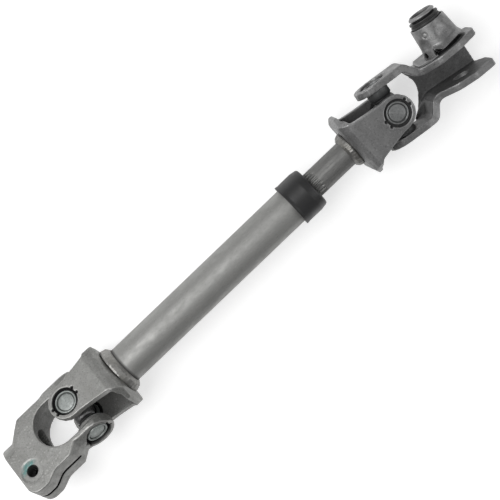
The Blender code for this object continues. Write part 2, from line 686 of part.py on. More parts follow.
def cross_spider(name, parent, second_spread, look):
    """Cross with four ground trunnions: two turned bars through each other."""
    cross = turned(name, cross_bar(0.0), SMALL_STEPS, parent, along("Z"), PARTS)
    second = turned(name + "_second_bar", cross_bar(second_spread), SMALL_STEPS, parent,
                    along("Y"), CUTTERS)
    combine(cross, 'UNION', second)
    return finish_part(cross, look)


def bearing_cup(name, parent, matrix, look):
    """Drawn cup with a rolled rim and a recessed face; its closed end points along +Z."""
    rim_outer = CUP_RADIUS - CUP_EDGE_CHAMFER
    rim_inner = rim_outer - CUP_RIM_WIDTH
    recess = CUP_FACE - CUP_RECESS_DEPTH
    profile = [
        (0.0, recess),
        (rim_inner - CUP_RECESS_DEPTH, recess),
        (rim_inner, CUP_FACE),
        (rim_outer, CUP_FACE),
        (CUP_RADIUS, CUP_FACE - CUP_EDGE_CHAMFER),
        (CUP_RADIUS, CUP_OPEN_END),
        (CUP_CAVITY_RADIUS, CUP_OPEN_END),
        (CUP_CAVITY_RADIUS, CUP_CAVITY_END),
        (0.0, CUP_CAVITY_END),
    ]
    cup = turned(name, profile, CUP_STEPS, parent, matrix, PARTS)
    return finish_part(cup, look)


def scalloped_ring(radius, scallop, count):
    """Closed outline that follows the outside of a ring of rollers."""
    points = []
    for index in range(2 * count):
        angle = math.pi * index / count
        reach = radius - scallop * (index % 2)
        points.append((reach * math.cos(angle), reach * math.sin(angle)))
    return points


def needle_set(name, parent, matrix, look):
    """Full ring of needle rollers, side by side, drawn as one scalloped ring."""
    outer = scalloped_ring(NEEDLE_OUTER_RADIUS, NEEDLE_SCALLOP, NEEDLE_COUNT)
    inner = scalloped_ring(NEEDLE_INNER_RADIUS + NEEDLE_SCALLOP, -NEEDLE_SCALLOP, NEEDLE_COUNT)
    start = CUP_OPEN_END + SEAT_GAP
    end = CUP_CAVITY_END - SEAT_GAP
    needles = extruded(name, [outer, inner], end - start, "XY", 0.0, parent, PARTS)
    needles.matrix_local = matrix @ at(0.0, 0.0, (start + end) / 2.0)
    return finish_part(needles, look)


def trunnion_seal(name, parent, matrix, look):
    """Rubber seal on the trunnion, between the cross and the open end of the cup."""
    inner = TRUNNION_RADIUS + SEAT_GAP
    end = SEAL_START + SEAL_LENGTH
    profile = [
        (inner, end),
        (SEAL_RADIUS, end),
        (SEAL_RADIUS, SEAL_START + SEAL_LENGTH / 2.0),
        (SEAL_LIP_RADIUS, SEAL_START),
        (inner, SEAL_START),
    ]
    seal = turned(name, profile, SMALL_STEPS, parent, matrix, PARTS, closed=True)
    return finish_part(seal, look)


def bearing(joint, number, cup_parent, cross_parent, axis, cross_axis, spread=0.0):
    """Cup, needles and seal on one trunnion, moved out by the spread."""
    lift = at(0.0, 0.0, spread)
    bearing_cup(f"{joint}_cup_{number}", cup_parent, along(axis) @ lift, STEEL_BRIGHT)
    needle_set(f"{joint}_needles_{number}", cup_parent, along(axis) @ lift, STEEL_BRIGHT)
    trunnion_seal(f"{joint}_seal_{number}", cross_parent, along(cross_axis) @ lift, BLACK_RUBBER)


def weld_bead(name, radius, height, length, parent, matrix, look):
    """Ring of weld round a stem: a rounded fillet that stands on the plate at Z = 0."""
    inner = radius + SEAT_GAP
    profile = [
        (inner, length),
        (inner + height * WELD_CROWN, length),
        (inner + height * WELD_SHOULDER[0], length * WELD_SHOULDER[1]),
        (inner + height, length * WELD_TOE[1]),
        (inner + height * WELD_TOE[0], SEAT_GAP),
        (inner, SEAT_GAP),
    ]
    bead = turned(name, profile, ROUND_STEPS, parent, matrix, PARTS, closed=True)
    return finish_part(bead, look)


def outer_tube(name, parent, look):
    """Plain drawn tube from the tube yoke's plate to the dust collar."""
    start = BASE_FACE + SEAT_GAP
    profile = [
        (TUBE_BORE_RADIUS, TUBE_END),
        (TUBE_RADIUS - TUBE_CHAMFER, TUBE_END),
        (TUBE_RADIUS, TUBE_END - TUBE_CHAMFER),
        (TUBE_RADIUS, start),
        (TUBE_BORE_RADIUS, start),
    ]
    tube = turned(name, profile, ROUND_STEPS, parent, along("X"), PARTS, closed=True)
    return finish_part(tube, look)


def dust_collar(name, parent, look):
    """Plastic collar over the tube's end, with a lip that closes on the inner shaft."""
    over_tube = TUBE_RADIUS + SEAT_GAP
    lip_start = TUBE_END + SEAT_GAP
    profile = [
        (SHAFT_RADIUS + SLIDE_GAP, COLLAR_END),
        (COLLAR_RADIUS - COLLAR_CHAMFER, COLLAR_END),
        (COLLAR_RADIUS, COLLAR_END - COLLAR_CHAMFER),
        (COLLAR_RADIUS, COLLAR_START),
        (over_tube, COLLAR_START),
        (over_tube, lip_start),
        (SHAFT_RADIUS + SLIDE_GAP, lip_start),
    ]
    collar = turned(name, profile, ROUND_STEPS, parent, along("X"), PARTS, closed=True)
    return finish_part(collar, look)


def spline_outline(tip_radius, tooth_share):
    """Outline of a toothed bar: each tooth is a trapezoid on the root circle."""
    root_radius = tip_radius - SPLINE_DEPTH
    pitch = 2.0 * math.pi / SPLINE_TEETH
    tip_half = pitch * tooth_share / 2.0
    root_half = tip_half * SPLINE_ROOT_SHARE
    points = []
    for tooth in range(SPLINE_TEETH):
        middle = tooth * pitch
        for radius, turn in ((root_radius, -root_half), (tip_radius, -tip_half),
                             (tip_radius, tip_half), (root_radius, root_half)):
            angle = middle + turn
            points.append((radius * math.cos(angle), radius * math.sin(angle)))
    return points


def spline_sleeve(name, parent, look):
    """Splined sleeve set back inside the end of the outer tube, which drives the inner shaft."""
    start = TUBE_END - SLEEVE_INSET - SLEEVE_LENGTH
    flank = SLIDE_GAP / (math.pi * SHAFT_RADIUS / SPLINE_TEETH)
    hole = spline_outline(SHAFT_RADIUS + SLIDE_GAP, SPLINE_TOOTH_SHARE + flank)
    outer_radius = TUBE_BORE_RADIUS - SEAT_GAP
    outer = []
    for step in range(ROUND_STEPS):
        angle = 2.0 * math.pi * step / ROUND_STEPS
        outer.append((outer_radius * math.cos(angle), outer_radius * math.sin(angle)))
    sleeve = extruded(name, [outer, hole], SLEEVE_LENGTH, "YZ", start + SLEEVE_LENGTH / 2.0,
                      parent, PARTS)
    return finish_part(sleeve, look)


def inner_shaft(name, parent, look):
    """Solid inner shaft: round where it shows, splined where it slides in the sleeve."""
    end = SHAFT_BASE_X - SEAT_GAP
    profile = [
        (0.0, end),
        (SHAFT_RADIUS, end),
        (SHAFT_RADIUS, SPLINE_START),
        (SHAFT_RADIUS - SPLINE_DEPTH - SHAFT_CHAMFER / 2.0, SPLINE_START - SHAFT_CHAMFER),
        (0.0, SPLINE_START - SHAFT_CHAMFER),
    ]
    shaft = turned(name, profile, ROUND_STEPS, parent, along("X"), PARTS)
    length = SPLINE_START - SHAFT_INNER_END
    splines = extruded(name + "_splines", [spline_outline(SHAFT_RADIUS, SPLINE_TOOTH_SHARE)],
                       length, "YZ", SHAFT_INNER_END + length / 2.0 - SHAFT_CHAMFER / 2.0,
                       parent, CUTTERS)
    combine(shaft, 'UNION', splines)
    return finish_part(shaft, look)


def pinch_bolt(name, parent, look):
    """Captive bolt along Z: a flat round head with a recessed top and a hexagon socket."""
    top = BOLT_HEAD_HEIGHT
    recess = top - BOLT_HEAD_RECESS
    profile = [
        (0.0, recess),
        (BOLT_HEAD_RADIUS - BOLT_HEAD_RIM, recess),
        (BOLT_HEAD_RADIUS - BOLT_HEAD_RIM, top),
        (BOLT_HEAD_RADIUS - TRUNNION_CHAMFER, top),
        (BOLT_HEAD_RADIUS, top - TRUNNION_CHAMFER),
        (BOLT_HEAD_RADIUS, 0.0),
        (BOLT_RADIUS, 0.0),
        (BOLT_RADIUS, -BOLT_LENGTH + SHAFT_CHAMFER),
        (BOLT_RADIUS - SHAFT_CHAMFER, -BOLT_LENGTH),
        (0.0, -BOLT_LENGTH),
    ]
    bolt = turned(name, profile, ROUND_STEPS, parent, Matrix.Identity(4), PARTS)
    socket = cylinder(name + "_socket", BOLT_SOCKET_RADIUS, 2.0 * BOLT_SOCKET_DEPTH,
                      at(0.0, 0.0, recess), parent, CUTTERS, 6)
    combine(bolt, 'DIFFERENCE', socket)
    return finish_part(bolt, look)


def bolt_retainer(name, parent, look):
    """Dark ring under the bolt's head, which guides it in the cage."""
    inner = BOLT_RADIUS + SEAT_GAP
    profile = [
        (inner, -SEAT_GAP),
        (RETAINER_RADIUS, -SEAT_GAP),
        (RETAINER_RADIUS, -SEAT_GAP - RETAINER_THICKNESS),
        (inner, -SEAT_GAP - RETAINER_THICKNESS),
    ]
    ring = turned(name, profile, ROUND_STEPS, parent, Matrix.Identity(4), PARTS, closed=True)
    return finish_part(ring, look)


def bolt_cage(name, parent, look):
    """Sheet cage that holds the bolt drawn back: a wall, a flared skirt and a foot on the flange."""
    inner = RETAINER_RADIUS + CAGE_GAP
    outer = inner + CAGE_SHEET
    skirt = CAGE_SKIRT_RADIUS
    low = CAGE_STANDOFF
    bend = low + CAGE_SKIRT_HEIGHT
    profile = [
        (inner, CAGE_HEIGHT),
        (outer, CAGE_HEIGHT),
        (outer + CAGE_FLARE, bend),
        (skirt, low),
        (skirt - CAGE_SHEET, low),
        (inner + CAGE_FLARE, bend - CAGE_SHEET / 2.0),
    ]
    cage = turned(name, profile, ROUND_STEPS, parent, Matrix.Identity(4), PARTS, closed=True)
    tab_end = skirt + CAGE_TAB_LENGTH
    tab = box(name + "_tab", (-tab_end, -CAGE_TAB_HALF_WIDTH, SEAT_GAP),
              (-skirt + 2.0 * CAGE_SHEET, CAGE_TAB_HALF_WIDTH, SEAT_GAP + CAGE_SHEET), parent, CUTTERS)
    riser = box(name + "_riser", (-skirt - CAGE_SHEET, -CAGE_TAB_HALF_WIDTH, SEAT_GAP),
                (-skirt + CAGE_SHEET, CAGE_TAB_HALF_WIDTH, low + CAGE_SHEET), parent, CUTTERS)
    combine(cage, 'UNION', riser)
    combine(cage, 'UNION', tab)
    slot_length, slot_width = CAGE_TAB_SLOT
    slot_middle = -skirt - CAGE_TAB_LENGTH * CAGE_SLOT_SHARE
    slot = box(name + "_slot", (slot_middle - slot_length / 2.0, -slot_width / 2.0, -CUT_MARGIN),
               (slot_middle + slot_length / 2.0, slot_width / 2.0, CUT_MARGIN * 2.0), parent, CUTTERS)
    combine(cage, 'DIFFERENCE', slot)
    return finish_part(cage, look)


def settle_on_floor(root):
    """Move the whole part so that the middle of its box's underside is at the origin."""
    graph = bpy.context.evaluated_depsgraph_get()
    low = Vector((math.inf, math.inf, math.inf))
    high = -low
    for item in PARTS.objects:
        if item.type != 'MESH':
            continue
        evaluated = item.evaluated_get(graph)
        for vertex in evaluated.data.vertices:
            place = item.matrix_world @ vertex.co
            low = Vector(map(min, low, place))
            high = Vector(map(max, high, place))
    root.location = (-(low.x + high.x) / 2.0, -(low.y + high.y) / 2.0, -low.z)
    bpy.context.view_layer.update()


def main():
    """Build the shaft from the tube outwards to both ends."""
    root = add_empty("tube_frame", None, Matrix.Identity(4))

    tube_yoke_turn = Matrix.Rotation(-YOKE_PHASE, 4, 'X')
    tube_yoke_frame = add_empty("tube_yoke_frame", root, tube_yoke_turn)
    stamped_yoke("tube_yoke", TUBE_BORE_RADIUS, tube_yoke_frame, STEEL_LIGHT)
    outer_tube("outer_tube", root, STEEL_LIGHT)
    weld_bead("tube_weld", TUBE_RADIUS, TUBE_WELD_HEIGHT, TUBE_WELD_LENGTH, root,
              at(BASE_FACE, 0.0, 0.0) @ along("X"), WELD_STEEL)
    spline_sleeve("spline_sleeve", root, STEEL_MID)
    dust_collar("dust_collar", root, BLACK_PLASTIC)

    # Lower joint: the cross turns on the tube yoke's cups, the clamp yoke turns on the cross
    lower_cross = add_empty("lower_cross_pivot", root, tube_yoke_turn)
    cross_spider("lower_cross", lower_cross, FORGED_SPREAD, STEEL_MID)
    clamp_turn = Matrix.Rotation(math.radians(180.0), 4, 'Z') @ along("Y")
    lower_clamp = add_empty("lower_clamp_pivot", lower_cross, clamp_turn)
    forged_clamp_yoke("lower_clamp_yoke", lower_clamp, STEEL_LIGHT)
    bearing("lower", 1, tube_yoke_frame, lower_cross, "Z", "Z")
    bearing("lower", 2, tube_yoke_frame, lower_cross, "-Z", "-Z")
    bearing("lower", 3, lower_clamp, lower_cross, "Z", "-Y", FORGED_SPREAD)
    bearing("lower", 4, lower_clamp, lower_cross, "-Z", "Y", FORGED_SPREAD)

    # Upper joint: the shaft yoke slides with the inner shaft and carries the upper cross
    slide = add_empty("telescope_slide", root, Matrix.Identity(4))
    inner_shaft("inner_shaft", slide, STEEL_MID)
    weld_bead("shaft_weld", SHAFT_RADIUS, SHAFT_WELD_HEIGHT, SHAFT_WELD_LENGTH, slide,
              at(SHAFT_BASE_X, 0.0, 0.0) @ along("-X"), WELD_STEEL)
    half_turn = Matrix.Rotation(math.radians(180.0), 4, 'Z')
    shaft_yoke_frame = add_empty("shaft_yoke_frame", slide, at(JOINT_DISTANCE, 0.0, 0.0) @ half_turn)
    stamped_yoke("shaft_yoke", SHAFT_RADIUS - SPLINE_DEPTH, shaft_yoke_frame, STEEL_DARK)
    bend = Matrix.Rotation(-UPPER_BEND, 4, 'Z')
    upper_cross = add_empty("upper_cross_pivot", slide, at(JOINT_DISTANCE, 0.0, 0.0) @ bend)
    cross_spider("upper_cross", upper_cross, CHANNEL_SPREAD, STEEL_MID)
    upper_clamp = add_empty("upper_clamp_pivot", upper_cross, along("Y"))
    channel_clamp_yoke("upper_clamp_yoke", upper_clamp, STEEL_DARK)
    bearing("upper", 1, shaft_yoke_frame, upper_cross, "Z", "Z")
    bearing("upper", 2, shaft_yoke_frame, upper_cross, "-Z", "-Z")
    bearing("upper", 3, upper_clamp, upper_cross, "Z", "Y", CHANNEL_SPREAD)
    bearing("upper", 4, upper_clamp, upper_cross, "-Z", "-Y", CHANNEL_SPREAD)

    # Captive bolt in its cage on the upper clamp yoke's flange
    slope = math.atan2(CHANNEL_TIP_FACE - CHANNEL_ROOT_FACE, CHANNEL_TIP - CHANNEL_ROOT)
    flange_height = CHANNEL_ROOT_FACE + math.tan(slope) * (PINCH_X - CHANNEL_ROOT)
    cage_frame = add_empty("bolt_cage_frame", upper_clamp,
                           at(PINCH_X, -PINCH_FRONT_OFFSET, flange_height))
    bolt_cage("bolt_cage", cage_frame, STEEL_MID)
    bolt_slide = add_empty("bolt_slide", cage_frame, at(0.0, 0.0, CAGE_HEIGHT + RETAINER_THICKNESS))
    bolt_retainer("bolt_retainer", bolt_slide, BLACK_PLASTIC)
    pinch_bolt("pinch_bolt", bolt_slide, STEEL_MID)

    bpy.context.view_layer.update()
    settle_on_floor(root)


main()
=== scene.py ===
"""Looks of the steering shaft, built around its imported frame."""

import json
import math

import bmesh
import bpy
from mathutils import Matrix, Vector, noise

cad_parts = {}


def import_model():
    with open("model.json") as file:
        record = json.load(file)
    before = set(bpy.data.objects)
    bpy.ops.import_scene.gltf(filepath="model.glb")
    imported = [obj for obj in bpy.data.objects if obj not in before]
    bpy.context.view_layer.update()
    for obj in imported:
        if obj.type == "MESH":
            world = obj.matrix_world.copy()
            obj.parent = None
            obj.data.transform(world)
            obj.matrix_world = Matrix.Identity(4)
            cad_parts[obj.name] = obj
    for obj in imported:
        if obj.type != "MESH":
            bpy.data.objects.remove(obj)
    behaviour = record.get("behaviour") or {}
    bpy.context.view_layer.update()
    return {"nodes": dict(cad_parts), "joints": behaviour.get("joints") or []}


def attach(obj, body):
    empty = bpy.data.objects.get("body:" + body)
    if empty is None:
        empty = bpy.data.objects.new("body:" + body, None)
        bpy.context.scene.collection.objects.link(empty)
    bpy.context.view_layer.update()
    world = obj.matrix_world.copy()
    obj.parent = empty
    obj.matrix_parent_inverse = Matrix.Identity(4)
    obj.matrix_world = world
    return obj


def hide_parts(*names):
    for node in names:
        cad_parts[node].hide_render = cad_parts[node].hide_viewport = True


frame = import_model()

# Places and directions that come from the frame's joints
JOINTS = {joint["name"]: joint for joint in frame["joints"]}
LOWER = Vector(JOINTS["lower_cross_hinge"]["pos_m"])
UPPER = Vector(JOINTS["upper_cross_hinge"]["pos_m"])
ALONG = Vector((1.0, 0.0, 0.0))
TUBE_CUPS = Vector(JOINTS["lower_cross_hinge"]["axis"]).normalized()
CLAMP_CUPS = Vector(JOINTS["lower_clamp_hinge"]["axis"]).normalized()
SHAFT_CUPS = Vector(JOINTS["upper_cross_hinge"]["axis"]).normalized()
CHANNEL_CUPS = Vector(JOINTS["upper_clamp_hinge"]["axis"]).normalized()
CHANNEL_STEM = CHANNEL_CUPS.cross(SHAFT_CUPS).normalized()
BOLT_POINT = Vector(JOINTS["bolt_spin"]["pos_m"])

# Sizes in metres
ROUND_STEPS = 96
CUP_RADIUS = 0.0082
CUP_FACE = 0.0215
CUP_OPEN_END = 0.0110
EYE_SEAT_RADIUS = 0.0098
ARM_FACE = 0.0230
FORGED_SPREAD = 0.0020
CHANNEL_SPREAD = 0.0010
TUBE_START = 0.0378
TUBE_END = 0.2185
TUBE_RADIUS = 0.0140
COLLAR_START = 0.2045
COLLAR_END = 0.2245
COLLAR_RADIUS = 0.0168
SHAFT_RADIUS = 0.0098
SPLINE_START = 0.2290
SPLINE_TEETH = 22
SPLINE_DEPTH = 0.0009
SHAFT_BASE = 0.2625
CLAMP_END = 0.0595
CLAMP_BORE_RADIUS = 0.00875
CLAMP_BOLT_X = 0.0490
CLAMP_BOLT_OFFSET = 0.0168
CLAMP_BOLT_POINT = LOWER - ALONG * CLAMP_BOLT_X + CLAMP_CUPS * CLAMP_BOLT_OFFSET
CLAMP_SLIT = 0.0022
FLANGE_HEIGHT = 0.01413
CAGE_HEIGHT = 0.0217
RETAINER_RADIUS = 0.0112
RETAINER_THICKNESS = 0.0045
BOLT_HEAD_RADIUS = 0.0100
BOLT_HEAD_HEIGHT = 0.0036
STAKE_RADIUS = 0.0016
STAKE_DEPTH = 0.0018
WELD_DISTANCE = 0.000001

# Turns in degrees of the stake marks round a cup
STAKE_TURNS = (-6.0, 22.0, 174.0, 203.0)

# Camera, fitted to the photograph: place from the lower joint, right and up directions, and lens
CAMERA_PLACE = Vector((0.17338, 0.21586, 1.01165))
CAMERA_RIGHT = Vector((0.7221, -0.6777, 0.1386))
CAMERA_UP = Vector((0.6917, 0.7044, -0.1593))
CAMERA_LENS = 107.08


def place(origin, x_axis, z_axis):
    """Matrix of a frame with its X and Z directions."""
    z_dir = z_axis.normalized()
    y_dir = z_dir.cross(x_axis).normalized()
    x_dir = y_dir.cross(z_dir)
    matrix = Matrix((x_dir, y_dir, z_dir)).transposed().to_4x4()
    matrix.translation = origin
    return matrix


def clamped(value):
    """Value held between 0 and 1."""
    return min(1.0, max(0.0, value))


def eased(value):
    """Smooth step from 0 to 1."""
    share = clamped(value)
    return share * share * (3.0 - 2.0 * share)


def bell(distance, width):
    """Smooth bump that falls from 1 in its middle to 0 at its width."""
    return 0.5 + 0.5 * math.cos(math.pi * distance / width)


def between(rows, value):
    """Numbers of a table at a value between two of its rows, or zeros beyond them."""
    for first, second in zip(rows, rows[1:]):
        if first[0] <= value <= second[0]:
            share = (value - first[0]) / (second[0] - first[0])
            return [start + (end - start) * share for start, end in zip(first[1:], second[1:])]
    return [0.0] * (len(rows[0]) - 1)


def about(point, centre, axis):
    """Height of a point along an axis, and its distance from the axis."""
    offset = point - centre
    height = offset.dot(axis)
    return height, (offset - axis * height).length


def object_of(name, build):
    """Object from an edit mesh, which is freed."""
    mesh = bpy.data.meshes.new(name)
    build.to_mesh(mesh)
    build.free()
    item = bpy.data.objects.new(name, mesh)
    bpy.context.scene.collection.objects.link(item)
    return item


def mesh_piece(name, vertices, faces):
    """Object from points and faces, with its normals turned outwards."""
    build = bmesh.new()
    made = [build.verts.new(vertex) for vertex in vertices]
    for face in faces:
        build.faces.new([made[index] for index in face])
    bmesh.ops.recalc_face_normals(build, faces=build.faces)
    return object_of(name, build)


def sheet_body(name, near, far):
    """Closed body between two grids of points, with its normals turned outwards."""
    build = bmesh.new()
    sides = [[[build.verts.new(point) for point in row] for row in grid] for grid in (near, far)]
    for side in sides:
        for first, second in zip(side, side[1:]):
            for low, high, far_low, far_high in zip(first, first[1:], second, second[1:]):
                build.faces.new((low, far_low, far_high, high))
    front, back = sides
    rims = [
        [(row[0], other[0]) for row, other in zip(front, back)],
        [(row[-1], other[-1]) for row, other in zip(front, back)],
        list(zip(front[0], back[0])),
        list(zip(front[-1], back[-1])),
    ]
    for rim in rims:
        for (first, second), (third, fourth) in zip(rim, rim[1:]):
            build.faces.new((first, second, fourth, third))
    bmesh.ops.recalc_face_normals(build, faces=build.faces)
    return object_of(name, build)


def rounded(corners, steps=5):
    """Open profile from (radius, height, rounding) corners, each rounding drawn as an arc."""
    points = []
    for index, (radius, height, rounding) in enumerate(corners):
        corner = Vector((radius, height))
        if rounding == 0.0:
            points.append(corner)
            continue
        before = Vector(corners[index - 1][:2])
        after = Vector(corners[(index + 1) % len(corners)][:2])
        to_before = (before - corner).normalized()
        to_after = (after - corner).normalized()
        half_angle = to_before.angle(to_after) / 2.0
        setback = rounding / math.tan(half_angle)
        for step in range(steps + 1):
            share = step / steps
            start = corner + to_before * setback
            end = corner + to_after * setback
            points.append(start.lerp(corner, share).lerp(corner.lerp(end, share), share))
    return points


def mirrored(half):
    """Whole profile from its upper half."""
    return half + [(radius, -height, *rest) for radius, height, *rest in reversed(half)]


def lathe(name, profile, matrix, steps=ROUND_STEPS, closed=False, shape=None):
    """Turned piece about its Z axis; shape may move a point by its angle.

    A profile point on the axis becomes one point, and two of them never follow one another.
    """
    vertices = []
    faces = []
    rings = []
    for radius, height in profile:
        if radius == 0.0:
            rings.append([len(vertices)])
            vertices.append((0.0, 0.0, height))
            continue
        ring = []
        for step in range(steps):
            angle = 2.0 * math.pi * step / steps
            reach, level = (radius, height) if shape is None else shape(radius, height, angle)
            ring.append(len(vertices))
            vertices.append((reach * math.cos(angle), reach * math.sin(angle), level))
        rings.append(ring)
    pairs = list(zip(rings, rings[1:]))
    if closed:
        pairs.append((rings[-1], rings[0]))
    for first, second in pairs:
        for step in range(steps):
            following = (step + 1) % steps
            if len(first) == 1:
                faces.append((first[0], second[step], second[following]))
            elif len(second) == 1:
                faces.append((first[step], second[0], first[following]))
            else:
                faces.append((first[step], second[step], second[following], first[following]))
    item = mesh_piece(name, vertices, faces)
    item.data.transform(matrix)
    return item


def bake_modifiers(item):
    """Replace the mesh by its evaluated one and drop the modifiers."""
    graph = bpy.context.evaluated_depsgraph_get()
    mesh = bpy.data.meshes.new_from_object(item.evaluated_get(graph))
    item.modifiers.clear()
    item.data = mesh


def combine(item, other, operation):
    """Cut a closed piece out of another or join the two, and remove it."""
    modifier = item.modifiers.new("combine", 'BOOLEAN')
    modifier.operation = operation
    modifier.solver = 'EXACT'
    modifier.object = other
    bake_modifiers(item)
    bpy.data.objects.remove(other, do_unlink=True)


def softened(name, node, voxel, passes, additions=()):
    """Copy of a frame node with its edges rounded, as forging or pressing leaves them."""
    build = bmesh.new()
    build.from_mesh(frame["nodes"][node].data)
    for addition in additions:
        build.from_mesh(addition.data)
        bpy.data.objects.remove(addition, do_unlink=True)
    bmesh.ops.remove_doubles(build, verts=build.verts, dist=WELD_DISTANCE)
    item = object_of(name, build)
    skin = item.modifiers.new("skin", 'REMESH')
    skin.mode = 'VOXEL'
    skin.voxel_size = voxel
    smooth = item.modifiers.new("rounding", 'SMOOTH')
    smooth.factor = 0.5
    smooth.iterations = passes
    bake_modifiers(item)
    return item


def finish_piece(item, body, material, nodes, sharp_angle=40.0):
    """Shade, dress and seat a piece on its body."""
    item.data.materials.clear()
    item.data.materials.append(material)
    item.data.shade_smooth()
    item.data.set_sharp_from_angle(angle=math.radians(sharp_angle))
    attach(item, body)
    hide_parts(*nodes)


def eye_cutter(name, matrix, face, widening):
    """Bore through both eyes with the wider seat at each mouth."""
    seat = face - 0.0021 - widening
    top = face + 0.004
    reach = EYE_SEAT_RADIUS + widening
    half = [(0.0, top), (reach, top), (reach, seat), (CUP_RADIUS, seat - 0.0004)]
    return lathe(name, mirrored(half), matrix)


def dent(item, point, direction, radius, depth):
    """Press a round mark into a surface round a point."""
    for vertex in item.data.vertices:
        distance = (vertex.co - point).length
        if distance < radius:
            vertex.co -= direction * depth * bell(distance, radius)


def paint_shade(item, amount_at):
    """Mark each vertex with how much painted shade the materials put on it."""
    layer = item.data.attributes.get("painted_shade") or item.data.attributes.new("painted_shade", 'FLOAT', 'POINT')
    for vertex, mark in zip(item.data.vertices, layer.data):
        mark.value = max(mark.value, amount_at(vertex.co))


def stake_marks(item, centre, axis, reference, face, strength):
    """Cup seats and two pairs of punched stake marks beside each, on both faces of the yoke, darkened with
    painted shade.
    """
    side = axis.cross(reference).normalized()
    forward = side.cross(axis).normalized()
    marks = []
    for way in (1.0, -1.0):
        outward = axis * way
        for turn in STAKE_TURNS:
            angle = math.radians(turn)
            spoke = forward * math.cos(angle) + side * math.sin(angle)
            mark = centre + outward * face + spoke * (EYE_SEAT_RADIUS + 0.0005)
            dent(item, mark, outward, STAKE_RADIUS, STAKE_DEPTH)
            marks.append(mark - outward * (STAKE_DEPTH / 2.0))

    # Painted shade in the cup seats and in the punched marks
    def amount_at(point):
        height, radius = about(point, centre, axis)
        if abs(height) < 0.012 or radius > EYE_SEAT_RADIUS + 0.0030:
            return 0.0
        if radius < EYE_SEAT_RADIUS + 0.0008 and abs(height) < face - 0.0009:
            return strength
        nearest = min((point - mark).length for mark in marks)
        return strength * clamped(1.7 - nearest / 0.0010)

    paint_shade(item, amount_at)


# Materials

METALLIC = 0.75
# Near-black colour and raised roughness of painted shade in recesses, gaps and under parts
PAINTED_SHADE = (0.012, 0.012, 0.013)
PAINTED_SHADE_ROUGHNESS = 0.85
WHITE = (1.0, 1.0, 1.0, 1.0)


def node_of(tree, kind, **settings):
    """Add a node with its settings; a setting that starts with in_ is the default of that input."""
    node = tree.nodes.new(kind)
    for key, value in settings.items():
        if key.startswith("in_"):
            node.inputs[key[3:]].default_value = value
        else:
            setattr(node, key, value)
    return node


def material_of(name):
    """New material with its node tree and main shader."""
    material = bpy.data.materials.new(name)
    material.use_nodes = True
    return material, material.node_tree, material.node_tree.nodes["Principled BSDF"]


def mix_shaders(tree, factor, first, second, output):
    """Feed a mix of two shaders to the tree's output."""
    mix = tree.nodes.new('ShaderNodeMixShader')
    for socket, source in zip(mix.inputs, (factor, first, second)):
        tree.links.new(source, socket)
    tree.links.new(mix.outputs[0], tree.nodes[output].inputs[0])


def bump_of(tree, shader, height, strength, distance):
    """Feed a bump to a shader."""
    bump = node_of(tree, 'ShaderNodeBump', in_Strength=strength, in_Distance=distance)
    tree.links.new(height, bump.inputs['Height'])
    tree.links.new(bump.outputs[0], shader.inputs['Normal'])


def ramp_of(tree, source, stops):
    """Grey ramp fed by a value, from (position, grey) stops."""
    ramp = tree.nodes.new('ShaderNodeValToRGB')
    elements = ramp.color_ramp.elements
    while len(elements) < len(stops):
        elements.new(0.5)
    for element, (position, grey) in zip(elements, stops):
        element.position = position
        element.color = (grey, grey, grey, 1.0)
    tree.links.new(source, ramp.inputs[0])
    return ramp.outputs[0]


def mixed(tree, factor, first, second):
    """Mix two colours by a factor, each a socket or a constant."""
    mix = tree.nodes.new('ShaderNodeMix')
    mix.data_type = 'RGBA'
    for socket, value in ((mix.inputs[0], factor), (mix.inputs[6], first), (mix.inputs[7], second)):
        if isinstance(value, bpy.types.NodeSocket):
            tree.links.new(value, socket)
        elif isinstance(value, tuple):
            socket.default_value = (*value, 1.0)
        else:
            socket.default_value = value
    return mix.outputs[2]


def math_of(tree, operation, first, second=0.0, clamp=False):
    """Math node on sockets or numbers."""
    node = tree.nodes.new('ShaderNodeMath')
    node.operation = operation
    node.use_clamp = clamp
    for socket, value in zip(node.inputs, (first, second)):
        if isinstance(value, bpy.types.NodeSocket):
            tree.links.new(value, socket)
        else:
            socket.default_value = value
    return node.outputs[0]


def noise_of(tree, vector, scale, detail=3.0, roughness=0.55):
    """Noise value over the object's own coordinates."""
    node = node_of(tree, 'ShaderNodeTexNoise', in_Scale=scale, in_Detail=detail, in_Roughness=roughness)
    tree.links.new(vector, node.inputs['Vector'])
    return node.outputs[0]


def toned(colour, factor):
    """Colour made darker or brighter by a factor, at most white."""
    return tuple(min(1.0, channel * factor) for channel in colour)


